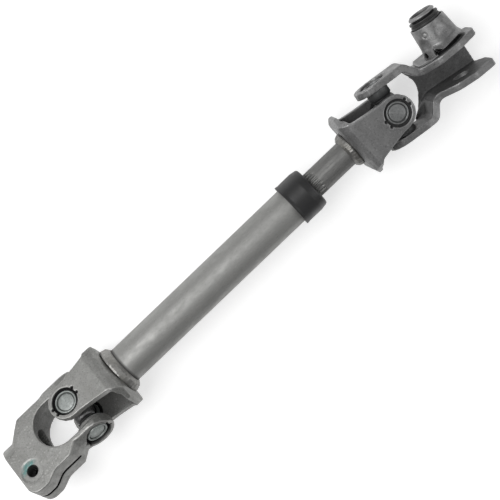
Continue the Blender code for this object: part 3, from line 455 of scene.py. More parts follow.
def metal(name, colour, dark, rough=0.46, grain=0.5, stretch=(1.0, 1.0, 1.0), edge=0.35, speck=1.0,
          tint=None, extra=None):
    """Shot-blasted or drawn steel: mottled colour, fine speckle with painted glints, bright worn edges,
    painted shade in creases and where a piece's marks ask for it, and grain.
    """
    material, tree, shader = material_of(name)
    shader.inputs["Metallic"].default_value = METALLIC
    coordinates = tree.nodes.new('ShaderNodeTexCoord').outputs['Object']
    scaled = node_of(tree, 'ShaderNodeMapping', in_Scale=stretch)
    tree.links.new(coordinates, scaled.inputs['Vector'])
    vector = scaled.outputs[0]

    cloud = noise_of(tree, vector, 55.0, 4.0)
    speckle = noise_of(tree, vector, 900.0, 2.0, 0.7)
    blotch = noise_of(tree, vector, 240.0, 3.0)
    base = mixed(tree, ramp_of(tree, cloud, [(0.32, 0.0), (0.70, 1.0)]), dark, colour)
    base = mixed(tree, ramp_of(tree, blotch, [(0.35, 0.5), (0.62, 0.0)]), base, dark)
    pits = ramp_of(tree, speckle, [(0.30, 0.6 * speck), (0.44, 0.0)])
    base = mixed(tree, pits, base, toned(dark, 0.45))
    # Bright specks: painted glints
    glints = ramp_of(tree, speckle, [(0.60, 0.0), (0.74, 0.5 * speck)])
    base = mixed(tree, glints, base, toned(colour, 1.7))
    if edge:
        geometry = tree.nodes.new('ShaderNodeNewGeometry')
        worn = ramp_of(tree, geometry.outputs['Pointiness'], [(0.505, 0.0), (0.56, edge)])
        base = mixed(tree, worn, base, toned(colour, 1.65))
        # Painted shade in creases and hollows, found by the mesh's pointiness
        crease_shade = ramp_of(tree, geometry.outputs['Pointiness'], [(0.42, 0.6), (0.49, 0.0)])
        base = mixed(tree, crease_shade, base, toned(dark, 0.4))
    if tint:
        base = mixed(tree, ramp_of(tree, noise_of(tree, vector, 130.0), [(0.45, 0.0), (0.65, 0.6)]),
                     base, tint)
    if extra:
        base = extra(tree, coordinates, base)
    # Painted shade: each piece's vertex marks darken the colour and roughen the surface
    painted_shade = node_of(tree, 'ShaderNodeAttribute', attribute_name="painted_shade").outputs['Fac']
    base = mixed(tree, painted_shade, base, PAINTED_SHADE)
    tree.links.new(base, shader.inputs["Base Color"])

    gloss = ramp_of(tree, blotch, [(0.3, rough + 0.12), (0.7, rough - 0.06)])
    gloss = mixed(tree, painted_shade, gloss, (PAINTED_SHADE_ROUGHNESS, PAINTED_SHADE_ROUGHNESS, PAINTED_SHADE_ROUGHNESS))
    tree.links.new(gloss, shader.inputs["Roughness"])
    height = math_of(tree, 'ADD', math_of(tree, 'MULTIPLY', speckle, 0.7),
                     math_of(tree, 'MULTIPLY', blotch, 0.5))
    bump_of(tree, shader, height, grain, 0.00012)
    return material


def plastic(name, colour, rough):
    """Moulded plastic or rubber with a fine grain and a few scuffs."""
    material, tree, shader = material_of(name)
    coordinates = tree.nodes.new('ShaderNodeTexCoord').outputs['Object']
    cloud = noise_of(tree, coordinates, 90.0, 4.0)
    fine = noise_of(tree, coordinates, 1400.0, 2.0)
    base = mixed(tree, ramp_of(tree, cloud, [(0.35, 0.0), (0.7, 1.0)]),
                 colour, toned(colour, 1.6))
    scuff = ramp_of(tree, fine, [(0.66, 0.0), (0.78, 0.35)])
    base = mixed(tree, scuff, base, toned(colour, 4.0))
    tree.links.new(base, shader.inputs["Base Color"])
    tree.links.new(ramp_of(tree, cloud, [(0.3, rough + 0.1), (0.7, rough - 0.08)]),
                   shader.inputs["Roughness"])
    bump_of(tree, shader, fine, 0.25, 0.00006)
    return material


def paint_mark(tree, coordinates, base):
    """Worn teal inspection mark: part of a ring round the lower pinch bolt's hole."""
    offset = node_of(tree, 'ShaderNodeVectorMath', operation='SUBTRACT')
    tree.links.new(coordinates, offset.inputs[0])
    offset.inputs[1].default_value = CLAMP_BOLT_POINT

    def part_along(direction):
        dot = node_of(tree, 'ShaderNodeVectorMath', operation='DOT_PRODUCT')
        tree.links.new(offset.outputs[0], dot.inputs[0])
        dot.inputs[1].default_value = direction
        return dot.outputs['Value']

    back = part_along(-ALONG)
    across = part_along(-CLAMP_CUPS)
    height = part_along(TUBE_CUPS)
    square = math_of(tree, 'ADD', math_of(tree, 'MULTIPLY', back, back),
                     math_of(tree, 'MULTIPLY', across, across))
    radius = math_of(tree, 'SQRT', square)
    wobble = math_of(tree, 'MULTIPLY', noise_of(tree, coordinates, 350.0), 0.0022)
    radius = math_of(tree, 'ADD', radius, wobble)
    ring = ramp_of(tree, math_of(tree, 'MULTIPLY', radius, 100.0),
                   [(0.45, 0.0), (0.56, 0.85), (0.74, 0.75), (0.98, 0.0)])
    facing = math_of(tree, 'ADD', math_of(tree, 'MULTIPLY', back, 0.25),
                     math_of(tree, 'MULTIPLY', across, 0.97))
    arc = ramp_of(tree, math_of(tree, 'MULTIPLY', facing, 100.0), [(0.18, 0.0), (0.36, 1.0)])
    top = ramp_of(tree, math_of(tree, 'MULTIPLY', height, 50.0), [(0.50, 0.0), (0.55, 1.0)])
    worn = ramp_of(tree, noise_of(tree, coordinates, 600.0), [(0.36, 0.25), (0.52, 1.0)])
    mask = math_of(tree, 'MULTIPLY', math_of(tree, 'MULTIPLY', ring, arc),
                   math_of(tree, 'MULTIPLY', top, worn))
    return mixed(tree, mask, base, (0.075, 0.22, 0.21))


LIGHT = (0.34, 0.34, 0.33)
LIGHT_DARK = (0.25, 0.25, 0.24)
TUBE_STEEL = metal("drawn_steel", (0.35, 0.35, 0.34), (0.31, 0.31, 0.30), rough=0.54, grain=0.2,
                   stretch=(0.5, 1.0, 1.0), edge=0.0, speck=0.3)
PRESSED_STEEL = metal("pressed_steel", LIGHT, LIGHT_DARK)
FORGED_STEEL = metal("forged_steel", LIGHT, LIGHT_DARK, grain=0.7, extra=paint_mark)
DARK_STEEL = metal("dark_pressed_steel", (0.27, 0.27, 0.27), (0.18, 0.18, 0.18), rough=0.44, edge=0.6)
SHAFT_STEEL = metal("shaft_steel", (0.25, 0.25, 0.245), (0.18, 0.18, 0.175), rough=0.54,
                    stretch=(0.3, 1.0, 1.0), edge=0.0, speck=0.6)
WELD_STEEL = metal("weld_steel", (0.37, 0.367, 0.355), (0.23, 0.227, 0.218), rough=0.46,
                   tint=(0.29, 0.283, 0.262))
DARK_WELD_STEEL = metal("dark_weld_steel", (0.26, 0.257, 0.248), (0.15, 0.148, 0.142), rough=0.46,
                        tint=(0.22, 0.212, 0.19))
CUP_STEEL = metal("cup_steel", (0.38, 0.40, 0.39), (0.27, 0.29, 0.28), rough=0.46, grain=0.2, edge=0.2)
DARK_CUP_STEEL = metal("dark_cup_steel", (0.31, 0.315, 0.315), (0.20, 0.205, 0.205), rough=0.42, grain=0.2,
                       edge=0.2)
GROUND_STEEL = metal("ground_steel", (0.24, 0.24, 0.24), (0.16, 0.16, 0.16), rough=0.40, grain=0.3)
CAGE_STEEL = metal("cage_steel", (0.27, 0.27, 0.27), (0.19, 0.19, 0.19), rough=0.44, edge=0.5)
BOLT_STEEL = metal("bolt_steel", (0.33, 0.33, 0.33), (0.20, 0.20, 0.20), rough=0.44, edge=0.6)
COLLAR_PLASTIC = plastic("collar_plastic", (0.016, 0.016, 0.0165), 0.42)
RETAINER_PLASTIC = plastic("retainer_plastic", (0.020, 0.020, 0.020), 0.5)
SEAL_RUBBER = plastic("seal_rubber", (0.014, 0.014, 0.014), 0.6)


# Bearing cups, seals and crosses of both joints

def cup(name, centre, axis, material, body, node):
    """Bearing cup: rolled rim, a groove and a flat pressed face."""
    face = CUP_FACE
    profile = rounded([
        (0.0, face - 0.0008, 0.0),
        (0.0040, face - 0.0008, 0.0003),
        (0.0058, face - 0.0009, 0.0003),
        (0.0061, face - 0.0013, 0.0002),
        (0.0065, face - 0.0013, 0.0002),
        (0.0069, face, 0.0003),
        (0.0078, face, 0.0004),
        (CUP_RADIUS, face - 0.0011, 0.0004),
        (CUP_RADIUS, CUP_OPEN_END, 0.0003),
        (0.0066, CUP_OPEN_END, 0.0002),
        (0.0065, face - 0.0020, 0.0),
        (0.0, face - 0.0020, 0.0),
    ])
    item = lathe(name, profile, place(centre, ALONG, axis))

    # Painted shade on the cup's wall down in its seat and in the groove of its face
    def amount_at(point):
        height, radius = about(point, centre, axis)
        if height < face - 0.0016:
            return 0.95
        return 0.6 if 0.0059 < radius < 0.0067 and height < face - 0.0010 else 0.0

    paint_shade(item, amount_at)
    finish_piece(item, body, material, [node], 50.0)


def seal(name, centre, axis, body, node):
    """Lipped rubber seal between the cross and the open end of a cup."""
    bore = 0.0050
    rim = 0.0074
    start = 0.0086
    end = 0.0107
    profile = rounded([
        (bore, end, 0.0002),
        (rim, end, 0.0003),
        (rim, start + 0.0013, 0.0002),
        (0.0070, start + 0.0011, 0.0002),
        (0.0070, start + 0.0008, 0.0002),
        (0.0067, start, 0.0002),
        (bore, start, 0.0002),
    ], 3)
    item = lathe(name, profile, place(centre, ALONG, axis), closed=True)
    finish_piece(item, body, SEAL_RUBBER, [node], 50.0)


def cross_bar(name, spread, matrix):
    """One turned bar of a cross, each end moved out by the spread."""
    trunnion = 0.0047
    end = 0.0193
    shoulder = 0.0082
    half = [
        (0.0, end - 0.0015, 0.0),
        (0.0015, end, 0.0001),
        (trunnion - 0.0006, end, 0.0002),
        (trunnion, end - 0.0006, 0.0002),
        (trunnion, shoulder, 0.0),
        (0.0064, shoulder, 0.0004),
        (0.0072, 0.0070, 0.0006),
    ]
    half = [(radius, height + spread, rounding) for radius, height, rounding in half]
    return lathe(name, rounded(mirrored(half), 3), matrix, 48)


def cross(name, centre, first, second, spread, body, node):
    """Cross with ground trunnions and a forged hub."""
    item = cross_bar(name, 0.0, place(centre, second, first))
    other = cross_bar(name + "_bar", spread, place(centre, first, second))
    combine(item, other, 'UNION')
    finish_piece(item, body, GROUND_STEEL, [node])


def joint_bearings(joint, centre, yoke_axis, clamp_axis, bodies, spread, material):
    """Cups and seals on the four trunnions of one joint."""
    yoke_body, clamp_body, cross_body = bodies
    rows = (
        (1, yoke_axis, yoke_body, 0.0),
        (2, -yoke_axis, yoke_body, 0.0),
        (3, clamp_axis, clamp_body, spread),
        (4, -clamp_axis, clamp_body, spread),
    )
    for number, axis, body, lift in rows:
        middle = centre + axis * lift
        cup(f"{joint}_cup_{number}_detail", middle, axis, material, body, f"{joint}_cup_{number}")
        seal(f"{joint}_seal_{number}_detail", middle, axis, cross_body, f"{joint}_seal_{number}")
    cross(f"{joint}_cross_detail", centre, yoke_axis, clamp_axis, spread, cross_body, f"{joint}_cross")


joint_bearings("lower", LOWER, TUBE_CUPS, CLAMP_CUPS, ("tube", "lower_clamp", "lower_cross"),
               FORGED_SPREAD, CUP_STEEL)
joint_bearings("upper", UPPER, SHAFT_CUPS, CHANNEL_CUPS, ("inner_shaft", "upper_clamp", "upper_cross"),
               CHANNEL_SPREAD, DARK_CUP_STEEL)


# Yokes

def yoke(node, centre, axis, reference, face, material, body, voxel, passes, cutters=(),
         additions=(), amount_at=None, strength=1.0, pull=None, widening=0.0):
    """A yoke with rounded edges, clean bores and stake marks."""
    item = softened(node + "_detail", node, voxel, passes, additions)
    if pull:
        pull(item)
    combine(item, eye_cutter(node + "_eyes", place(centre, ALONG, axis), face, widening), 'DIFFERENCE')
    for cutter in cutters:
        combine(item, cutter, 'DIFFERENCE')
    stake_marks(item, centre, axis, reference, face, strength)
    if amount_at:
        paint_shade(item, amount_at)
    finish_piece(item, body, material, [node], 50.0)


def clamp_cutters():
    """Splined bore, bolt hole and spot faces of the forged clamp."""
    teeth = 36
    points = []
    for step in range(2 * teeth):
        angle = math.pi * step / teeth
        radius = CLAMP_BORE_RADIUS + (0.0003 if step % 2 else -0.0002)
        points.append((radius * math.cos(angle), radius * math.sin(angle)))
    low = 0.026
    high = CLAMP_END + 0.003
    count = len(points)
    vertices = [(x, y, low) for x, y in points] + [(x, y, high) for x, y in points]
    faces = [tuple(range(count)), tuple(range(count, 2 * count))]
    faces += [(i, (i + 1) % count, count + (i + 1) % count, count + i) for i in range(count)]
    bore = mesh_piece("clamp_spline", vertices, faces)
    bore.data.transform(place(LOWER, TUBE_CUPS, -ALONG))
    hole = mirrored([(0.0, 0.020), (0.0048, 0.020), (0.0048, 0.0135), (0.0041, 0.0128)])
    bolt_hole = lathe("clamp_hole", hole, place(CLAMP_BOLT_POINT, ALONG, TUBE_CUPS), 64)
    return [bore, bolt_hole, slit_cutter()]


def slit_cutter():
    """Slit of the forged clamp, from its end to past the arch's shoulder."""
    half = CLAMP_SLIT / 2.0
    start = 0.0196
    low = 0.0050
    step = 0.0004
    near, far = ([[(start + step * x, side, low + step * z) for z in range(76)] for x in range(112)]
                 for side in (-half, half))
    item = sheet_body("clamp_slit", near, far)
    item.data.transform(place(LOWER, -ALONG, CLAMP_CUPS))
    return item


def clamp_boss():
    """Flat-faced boss round the cup on the ears' side of the forged clamp."""
    face = ARM_FACE + FORGED_SPREAD
    profile = rounded([
        (0.0, face, 0.0),
        (0.0060, face, 0.0),
        (0.0090, face, 0.0),
        (0.0134, face, 0.0014),
        (0.0138, face - 0.0070, 0.0020),
        (0.0, face - 0.0070, 0.0),
    ])

    def shape(radius, height, angle):
        fade = max(0.0, math.sin(angle + 0.2))
        return radius - 0.0016 * fade, height - 0.0034 * fade * (radius / 0.0134) ** 2

    return lathe("clamp_boss", profile, place(LOWER, ALONG, CLAMP_CUPS), shape=shape)


def inside_shade(centre, stem_axis, cup_axis, amount):
    """Painted shade on the inner faces of a yoke's arms and base."""

    def amount_at(point):
        offset = point - centre
        out = abs(offset.dot(cup_axis))
        stem = offset.dot(stem_axis)
        if out > ARM_FACE - 0.0050:
            return 0.0
        return amount * eased(stem / 0.010) * eased((0.0335 - stem) / 0.0045)

    return amount_at


def clamp_shade(point):
    """Shade in the slit, in the arch and in the pinch bolt's hole of the forged clamp."""
    offset = point - LOWER
    stem = -offset.dot(ALONG)
    out = offset.dot(CLAMP_CUPS)
    level = offset.dot(TUBE_CUPS)
    if stem < 0.0325 and abs(out) < 0.0180 and abs(level) < 0.0125:
        return 0.2
    if 0.0190 < stem < 0.0598 and out > 0.0088 and abs(level) < CLAMP_SLIT / 2.0 + 0.0001:
        return 1.0
    reach = math.hypot(stem - CLAMP_BOLT_X, out - CLAMP_BOLT_OFFSET)
    if reach < 0.0043 and abs(level) < 0.0132:
        return 0.85
    return 0.0


# Pull on the edge of the channel's web along the stem, by its place across the channel
WEB_PULL = [
    (-0.0240, -0.0080),
    (-0.0180, -0.0080),
    (-0.0134, -0.0043),
    (-0.0090, -0.0011),
    (-0.0045, 0.0016),
    (0.0000, 0.0026),
    (0.0046, 0.0031),
    (0.0094, 0.0022),
    (0.0130, 0.0002),
    (0.0240, 0.0000),
]


def pull_web(item):
    """Round the edge of the channel's web between the arms, as the press leaves it."""
    back = -SHAFT_CUPS
    for vertex in item.data.vertices:
        offset = vertex.co - UPPER
        stem = offset.dot(CHANNEL_STEM)
        depth = offset.dot(back)
        weight = eased((depth - 0.0100) / 0.0050) * eased((stem - 0.0060) / 0.0160)
        weight *= eased((0.0440 - stem) / 0.0160)
        if weight > 0.0:
            pull = between(WEB_PULL, offset.dot(CHANNEL_CUPS))[0]
            vertex.co += CHANNEL_STEM * pull * weight


def channel_shade(point):
    """Painted shade on the inside of the channel's web and flanges, and painted shadow on the flange under
    the cage.
    """
    offset = point - BOLT_POINT
    if offset.dot(CHANNEL_CUPS) > FLANGE_HEIGHT - 0.0030:
        reach = math.hypot(offset.dot(CHANNEL_STEM), offset.dot(SHAFT_CUPS))
        return 0.75 * eased((0.0158 - reach) / 0.0020)
    offset = point - UPPER
    stem = offset.dot(CHANNEL_STEM)
    across = abs(offset.dot(CHANNEL_CUPS))
    depth = offset.dot(-SHAFT_CUPS)
    if stem > 0.024 and across < 0.0110 and depth < 0.0165:
        return 0.3 * eased((depth + 0.020) / 0.012)
    return 0.0


def channel_cutters():
    """Rolled edges of the pinch bolt's holes through both flanges."""
    hole = mirrored([
        (0.0, 0.0165),
        (0.0064, 0.0165),
        (0.0064, 0.0142),
        (0.0054, 0.0132),
        (0.0054, 0.0107),
        (0.0068, 0.0094),
    ])
    return [lathe("channel_hole", hole, place(BOLT_POINT, ALONG, CHANNEL_CUPS), 64)]


yoke("tube_yoke", LOWER, TUBE_CUPS, ALONG, ARM_FACE, PRESSED_STEEL, "tube",
     voxel=0.00040, passes=10, amount_at=inside_shade(LOWER, ALONG, TUBE_CUPS, 0.35))
yoke("lower_clamp_yoke", LOWER, CLAMP_CUPS, ALONG, ARM_FACE + FORGED_SPREAD, FORGED_STEEL,
     "lower_clamp", voxel=0.00042, passes=16, cutters=clamp_cutters(),
     additions=[clamp_boss()], amount_at=clamp_shade, widening=0.0005)
yoke("shaft_yoke", UPPER, SHAFT_CUPS, ALONG, ARM_FACE, DARK_STEEL, "inner_shaft",
     voxel=0.00040, passes=10, amount_at=inside_shade(UPPER, -ALONG, SHAFT_CUPS, 0.4), strength=0.8)
yoke("upper_clamp_yoke", UPPER, CHANNEL_CUPS, CHANNEL_STEM, ARM_FACE + CHANNEL_SPREAD, DARK_STEEL,
     "upper_clamp", voxel=0.00042, passes=10, cutters=channel_cutters(),
     amount_at=channel_shade, strength=0.25, pull=pull_web)


# Tube, collar, shaft and welds

TUBE_PLACE = place(LOWER, -TUBE_CUPS, ALONG)


def tube():
    """Drawn outer tube with a turned end, two rings close together where the painted shade beside the weld
    ends.
    """
    bore = 0.0110
    profile = rounded([
        (bore, TUBE_END, 0.0003),
        (TUBE_RADIUS, TUBE_END, 0.0006),
        (TUBE_RADIUS, TUBE_START + 0.0088, 0.0),
        (TUBE_RADIUS, TUBE_START + 0.0072, 0.0),
        (TUBE_RADIUS, TUBE_START, 0.0002),
        (bore, TUBE_START, 0.0002),
    ])
    item = lathe("outer_tube_detail", profile, TUBE_PLACE, closed=True)
    # Painted shade on the tube next to the weld bead
    paint_shade(item, lambda point: 0.65 if (point - LOWER).dot(ALONG) < TUBE_START + 0.0076 else 0.0)
    finish_piece(item, "tube", TUBE_STEEL, ["outer_tube"])


def collar():
    """Moulded collar with a thin flared rim towards the tube and a rounded nose."""
    bore = SHAFT_RADIUS + 0.0003
    seat = TUBE_RADIUS + 0.0001
    profile = rounded([
        (bore, COLLAR_END, 0.0002),
        (COLLAR_RADIUS - 0.0012, COLLAR_END, 0.0022),
        (COLLAR_RADIUS - 0.0002, COLLAR_END - 0.0060, 0.0010),
        (COLLAR_RADIUS - 0.0003, COLLAR_START + 0.0024, 0.0010),
        (COLLAR_RADIUS, COLLAR_START + 0.0006, 0.0002),
        (COLLAR_RADIUS, COLLAR_START, 0.0002),
        (seat, COLLAR_START, 0.0001),
        (seat, TUBE_END + 0.0002, 0.0001),
        (bore, TUBE_END + 0.0002, 0.0001),
    ])
    item = lathe("dust_collar_detail", profile, TUBE_PLACE, closed=True)
    finish_piece(item, "tube", COLLAR_PLASTIC, ["dust_collar"])


def shaft_outline(radius, angle, share):
    """Reach of the shaft's surface at an angle, from round (0) to splined (1)."""
    turn = (angle * SPLINE_TEETH / (2.0 * math.pi) + 0.5) % 1.0 - 0.5
    tooth = 1.0 - clamped((abs(turn) - 0.16) / 0.12)
    return radius - SPLINE_DEPTH * share * (1.0 - tooth)


def inner_shaft():
    """Inner shaft: drawn bar with rolled splines that run out towards the yoke."""
    end = SHAFT_BASE - 0.0003
    splined = 0.1350
    run_out = 0.0030

    def shape(radius, height, angle):
        share = clamped((SPLINE_START + run_out - height) / run_out)
        return (shaft_outline(radius, angle, share) if radius > 0.009 else radius), height

    profile = [(0.0, end), (SHAFT_RADIUS, end)]
    for step in range(9):
        profile.append((SHAFT_RADIUS, SPLINE_START + run_out * (1.0 - step / 8.0)))
    profile += [(SHAFT_RADIUS, splined + 0.0008), (SHAFT_RADIUS - 0.0012, splined), (0.0, splined)]
    item = lathe("inner_shaft_detail", profile, TUBE_PLACE, 16 * SPLINE_TEETH, shape=shape)
    finish_piece(item, "inner_shaft", SHAFT_STEEL, ["inner_shaft"])


def weld(name, radius, height, length, matrix, material, body, node, seed):
    """Weld bead with overlapping ripples."""
    ripples = 34

    def shape(reach, level, angle):
        lift = max(0.0, reach - radius) / height
        phase = ripples * angle + 5.0 * lift
        spot = Vector((math.cos(angle) * 3.0, math.sin(angle) * 3.0, seed + level * 400.0))
        swell = 0.00007 * math.sin(phase) + 0.0004 * noise.noise(spot)
        return reach + swell * min(1.0, lift * 2.0), level + swell * lift

    profile = rounded([
        (radius, length, 0.0),
        (radius + height * 0.22, length, 0.0003),
        (radius + height * 0.78, length * 0.70, 0.0012),
        (radius + height * 0.98, length * 0.22, 0.0010),
        (radius + height * 0.94, 0.0002, 0.0003),
        (radius, 0.0002, 0.0),
    ])
    item = lathe(name, profile, matrix, 288, closed=True, shape=shape)
    finish_piece(item, body, material, [node], 60.0)


tube()
collar()
inner_shaft()
weld("tube_weld_detail", TUBE_RADIUS + 0.0001, 0.0044, 0.0066,
     place(LOWER + ALONG * (TUBE_START - 0.0003), TUBE_CUPS, ALONG), WELD_STEEL, "tube", "tube_weld", 1.0)
weld("shaft_weld_detail", SHAFT_RADIUS + 0.0001, 0.0038, 0.0054,
     place(LOWER + ALONG * SHAFT_BASE, TUBE_CUPS, -ALONG), DARK_WELD_STEEL, "inner_shaft", "shaft_weld", 7.0)


# Captive bolt, retainer and cage

HEAD_LEVEL = FLANGE_HEIGHT + CAGE_HEIGHT + RETAINER_THICKNESS
HEAD_POINT = BOLT_POINT + CHANNEL_CUPS * HEAD_LEVEL
BOLT_PLACE = place(HEAD_POINT, CHANNEL_STEM, CHANNEL_CUPS)


def bolt():
    """Bolt with a raised rim, a recessed top, a hexagon socket and a thread."""
    top = BOLT_HEAD_HEIGHT
    neck = BOLT_HEAD_RADIUS - 0.0012
    shank = 0.0049
    thread_root = 0.0042
    profile = rounded([
        (0.0, top - 0.0022, 0.0),
        (0.0074, top - 0.0022, 0.0005),
        (0.0082, top, 0.0003),
        (0.0086, top, 0.0002),
        (BOLT_HEAD_RADIUS, top - 0.0012, 0.0012),
        (BOLT_HEAD_RADIUS, 0.0013, 0.0003),
        (neck, 0.0010, 0.0002),
        (neck, 0.0, 0.0002),
        (shank, 0.0, 0.0003),
    ])
    level = -0.0060
    pitch = 0.00125
    while level > -0.0302:
        profile.append(Vector((shank, level)))
        profile.append(Vector((thread_root, level - pitch / 2.0)))
        level -= pitch
    profile += [Vector((0.0046, -0.0306)), Vector((0.0039, -0.0316)), Vector((0.0, -0.0316))]
    item = lathe("pinch_bolt_detail", profile, BOLT_PLACE)
    socket = lathe("bolt_socket", [(0.0, 0.004), (0.0034, 0.004), (0.0034, -0.0012), (0.0, -0.0020)],
                   BOLT_PLACE, 6)
    combine(item, socket, 'DIFFERENCE')

    # Painted shade under the head and in its recessed top
    def amount_at(point):
        height, radius = about(point, HEAD_POINT, CHANNEL_CUPS)
        if height < 0.0012:
            return 0.9 if height > -0.0002 else 0.0
        return 0.65 if radius < 0.0078 else 0.0

    paint_shade(item, amount_at)
    finish_piece(item, "bolt", BOLT_STEEL, ["pinch_bolt"])


def retainer():
    """Black ring under the head with a groove round its edge."""
    bore = 0.0052
    groove = RETAINER_RADIUS - 0.0010
    top = -0.0003
    low = top - RETAINER_THICKNESS
    profile = rounded([
        (bore, top, 0.0002),
        (RETAINER_RADIUS, top, 0.0003),
        (RETAINER_RADIUS, top - 0.0012, 0.0002),
        (groove, top - 0.0014, 0.0002),
        (groove, top - 0.0022, 0.0002),
        (RETAINER_RADIUS, top - 0.0024, 0.0002),
        (RETAINER_RADIUS, low, 0.0003),
        (bore, low, 0.0002),
    ], 3)
    item = lathe("bolt_retainer_detail", profile, BOLT_PLACE, closed=True)
    finish_piece(item, "bolt_carrier", RETAINER_PLASTIC, ["bolt_retainer"])


# Sheet of the cage: radii of its wall at the top, heights where its skirt begins and ends, and its foot
CAGE_INNER = 0.0118
CAGE_OUTER = 0.0129
SKIRT_BEND = 0.0070
SKIRT_LOW = 0.0020
FOOT_SHEET = 0.0011
FOOT_SLOPE = 0.0026 / 0.0465
SLOT_RADIUS = 0.0025
SLOT_POINT = (BOLT_POINT + CHANNEL_CUPS * (FLANGE_HEIGHT + 0.0030) - CHANNEL_STEM * 0.0150
              + SHAFT_CUPS * 0.0042)
# Edge of the skirt: turn about the bolt from the stem towards the viewer, height and spread
SKIRT_EDGE = [
    (0.0, 0.0024, 0.0),
    (20.0, 0.0034, 0.0004),
    (40.0, 0.0047, 0.0018),
    (72.0, 0.0037, 0.0026),
    (101.0, 0.0023, 0.0019),
    (126.0, 0.0058, 0.0),
    (130.0, 0.0003, 0.0),
    (205.0, 0.0, 0.0),
    (212.0, 0.0020, 0.0),
    (360.0, 0.0024, 0.0),
]
# Dents of the cage's wall: turn, level, width and depth
CAGE_DENTS = [
    (78.0, 0.0120, 0.0060, 0.0008),
    (36.0, 0.0150, 0.0060, 0.0006),
    (150.0, 0.0100, 0.0055, 0.0007),
    (300.0, 0.0140, 0.0060, 0.0006),
    (235.0, 0.0105, 0.0050, 0.0005),
]


def cage_lean(share, height):
    """How far the cage's side towards the stem leans out, by how much a point faces the stem."""
    return max(0.0, share) ** 2 * (0.0004 + 0.0022 * (1.0 - height / CAGE_HEIGHT))


def cage_shape(radius, height, angle):
    """Move a point of the cage's turned wall: leaning side, dents, and cut and flared skirt."""
    turn = -math.degrees(angle) % 360.0
    reach = radius + cage_lean(math.cos(angle), height)
    outer_wall = radius > 0.0127
    if outer_wall and height > SKIRT_BEND - 0.0005:
        for middle, level, width, depth in CAGE_DENTS:
            around = math.radians((turn - middle + 180.0) % 360.0 - 180.0) * radius
            distance = math.hypot(around, height - level)
            if distance < width:
                reach -= depth * bell(distance, width)
        # Ring-shaped mark on the side towards the viewer
        ring = math.hypot(math.radians(turn - 129.0) * radius, height - 0.0160)
        reach -= 0.0004 * max(0.0, 1.0 - abs(ring - 0.0018) / 0.0007)
    if height < SKIRT_BEND:
        down = (SKIRT_BEND - height) / (SKIRT_BEND - SKIRT_LOW)
        edge, spread = between(SKIRT_EDGE, turn)
        height = SKIRT_BEND - down * (SKIRT_BEND - edge)
        reach += spread * down ** 2.5
    return reach, height


def cage_wall():
    """Turned sheet wall of the cage."""
    corners = [
        (CAGE_OUTER, CAGE_HEIGHT, 0.0003),
        (CAGE_OUTER + 0.0007, SKIRT_BEND, 0.0),
        (CAGE_OUTER + 0.0023, SKIRT_LOW, 0.0002),
        (CAGE_INNER + 0.0023, SKIRT_LOW, 0.0002),
        (CAGE_INNER + 0.0007, SKIRT_BEND - 0.0004, 0.0),
        (CAGE_INNER, CAGE_HEIGHT, 0.0003),
    ]
    dense = []
    for corner, following in zip(corners, corners[1:] + corners[:1]):
        dense.append(corner)
        length = math.hypot(following[0] - corner[0], following[1] - corner[1])
        count = round(length / 0.0006) if length > 0.003 else 1
        for step in range(1, count):
            share = step / count
            dense.append((corner[0] + (following[0] - corner[0]) * share,
                          corner[1] + (following[1] - corner[1]) * share, 0.0))
    matrix = place(BOLT_POINT + CHANNEL_CUPS * FLANGE_HEIGHT, CHANNEL_STEM, CHANNEL_CUPS)
    return lathe("bolt_cage_detail", rounded(dense, 3), matrix, 180, closed=True, shape=cage_shape)


def cage_foot():
    """Sheet foot on the flange, narrower towards the viewer, its far side curled up a little."""
    grids = []
    for thickness in (0.0, FOOT_SHEET):
        grid = []
        for row in range(29):
            near = -0.0150 + 0.0010 * row
            narrowing = 0.0075 * eased((near - 0.0030) / 0.0110)
            left = -0.0222 + narrowing + 0.0016 * eased((-0.0110 - near) / 0.0040)
            right = -max(0.0085, math.sqrt(max(0.0, (CAGE_INNER + 0.0001) ** 2 - near ** 2)))
            curl = 0.0003 + 0.0019 * clamped((0.0030 - near) / 0.0180) ** 2
            line = []
            for column in range(11):
                along = left + (right - left) * column / 10.0
                height = FLANGE_HEIGHT + curl + thickness + along * FOOT_SLOPE
                line.append(BOLT_POINT + CHANNEL_STEM * along + SHAFT_CUPS * near + CHANNEL_CUPS * height)
            grid.append(line)
        grids.append(grid)
    return sheet_body("cage_foot", *grids)


def cage():
    """Drawn sheet cage with a riser down to its foot and a slot across the bend between them."""
    item = cage_wall()
    combine(item, cage_foot(), 'UNION')
    slot = lathe("cage_slot", mirrored([(0.0, 0.005), (SLOT_RADIUS, 0.005)]),
                 place(SLOT_POINT, SHAFT_CUPS, CHANNEL_STEM - CHANNEL_CUPS * 0.7), 32)
    combine(item, slot, 'DIFFERENCE')

    # Painted shade inside the cage's wall and in the slot
    def amount_at(point):
        level, radius = about(point, BOLT_POINT, CHANNEL_CUPS)
        height = level - FLANGE_HEIGHT
        lean = cage_lean((point - BOLT_POINT).dot(CHANNEL_STEM) / radius, height)
        widening = 0.05 * min(CAGE_HEIGHT - height, CAGE_HEIGHT - SKIRT_BEND)
        inside = CAGE_INNER + 0.0001 + widening + 0.32 * max(0.0, SKIRT_BEND - height)
        inner = 0.9 if 0.0010 < height < CAGE_HEIGHT - 0.0005 and radius - lean < inside else 0.0
        return max(inner, 0.8 if (point - SLOT_POINT).length < SLOT_RADIUS + 0.0002 else 0.0)

    paint_shade(item, amount_at)
    finish_piece(item, "upper_clamp", CAGE_STEEL, ["bolt_cage"], 50.0)


bolt()
retainer()
cage()


def dress(node, material):
    """Give a frame node that is kept as it is its looks."""
    for slot in frame["nodes"][node].material_slots:
        slot.material = material


dress("spline_sleeve", SHAFT_STEEL)
for joint in ("lower", "upper"):
    for number in (1, 2, 3, 4):
        dress(f"{joint}_needles_{number}", GROUND_STEEL)


# Floor, world, lights and camera

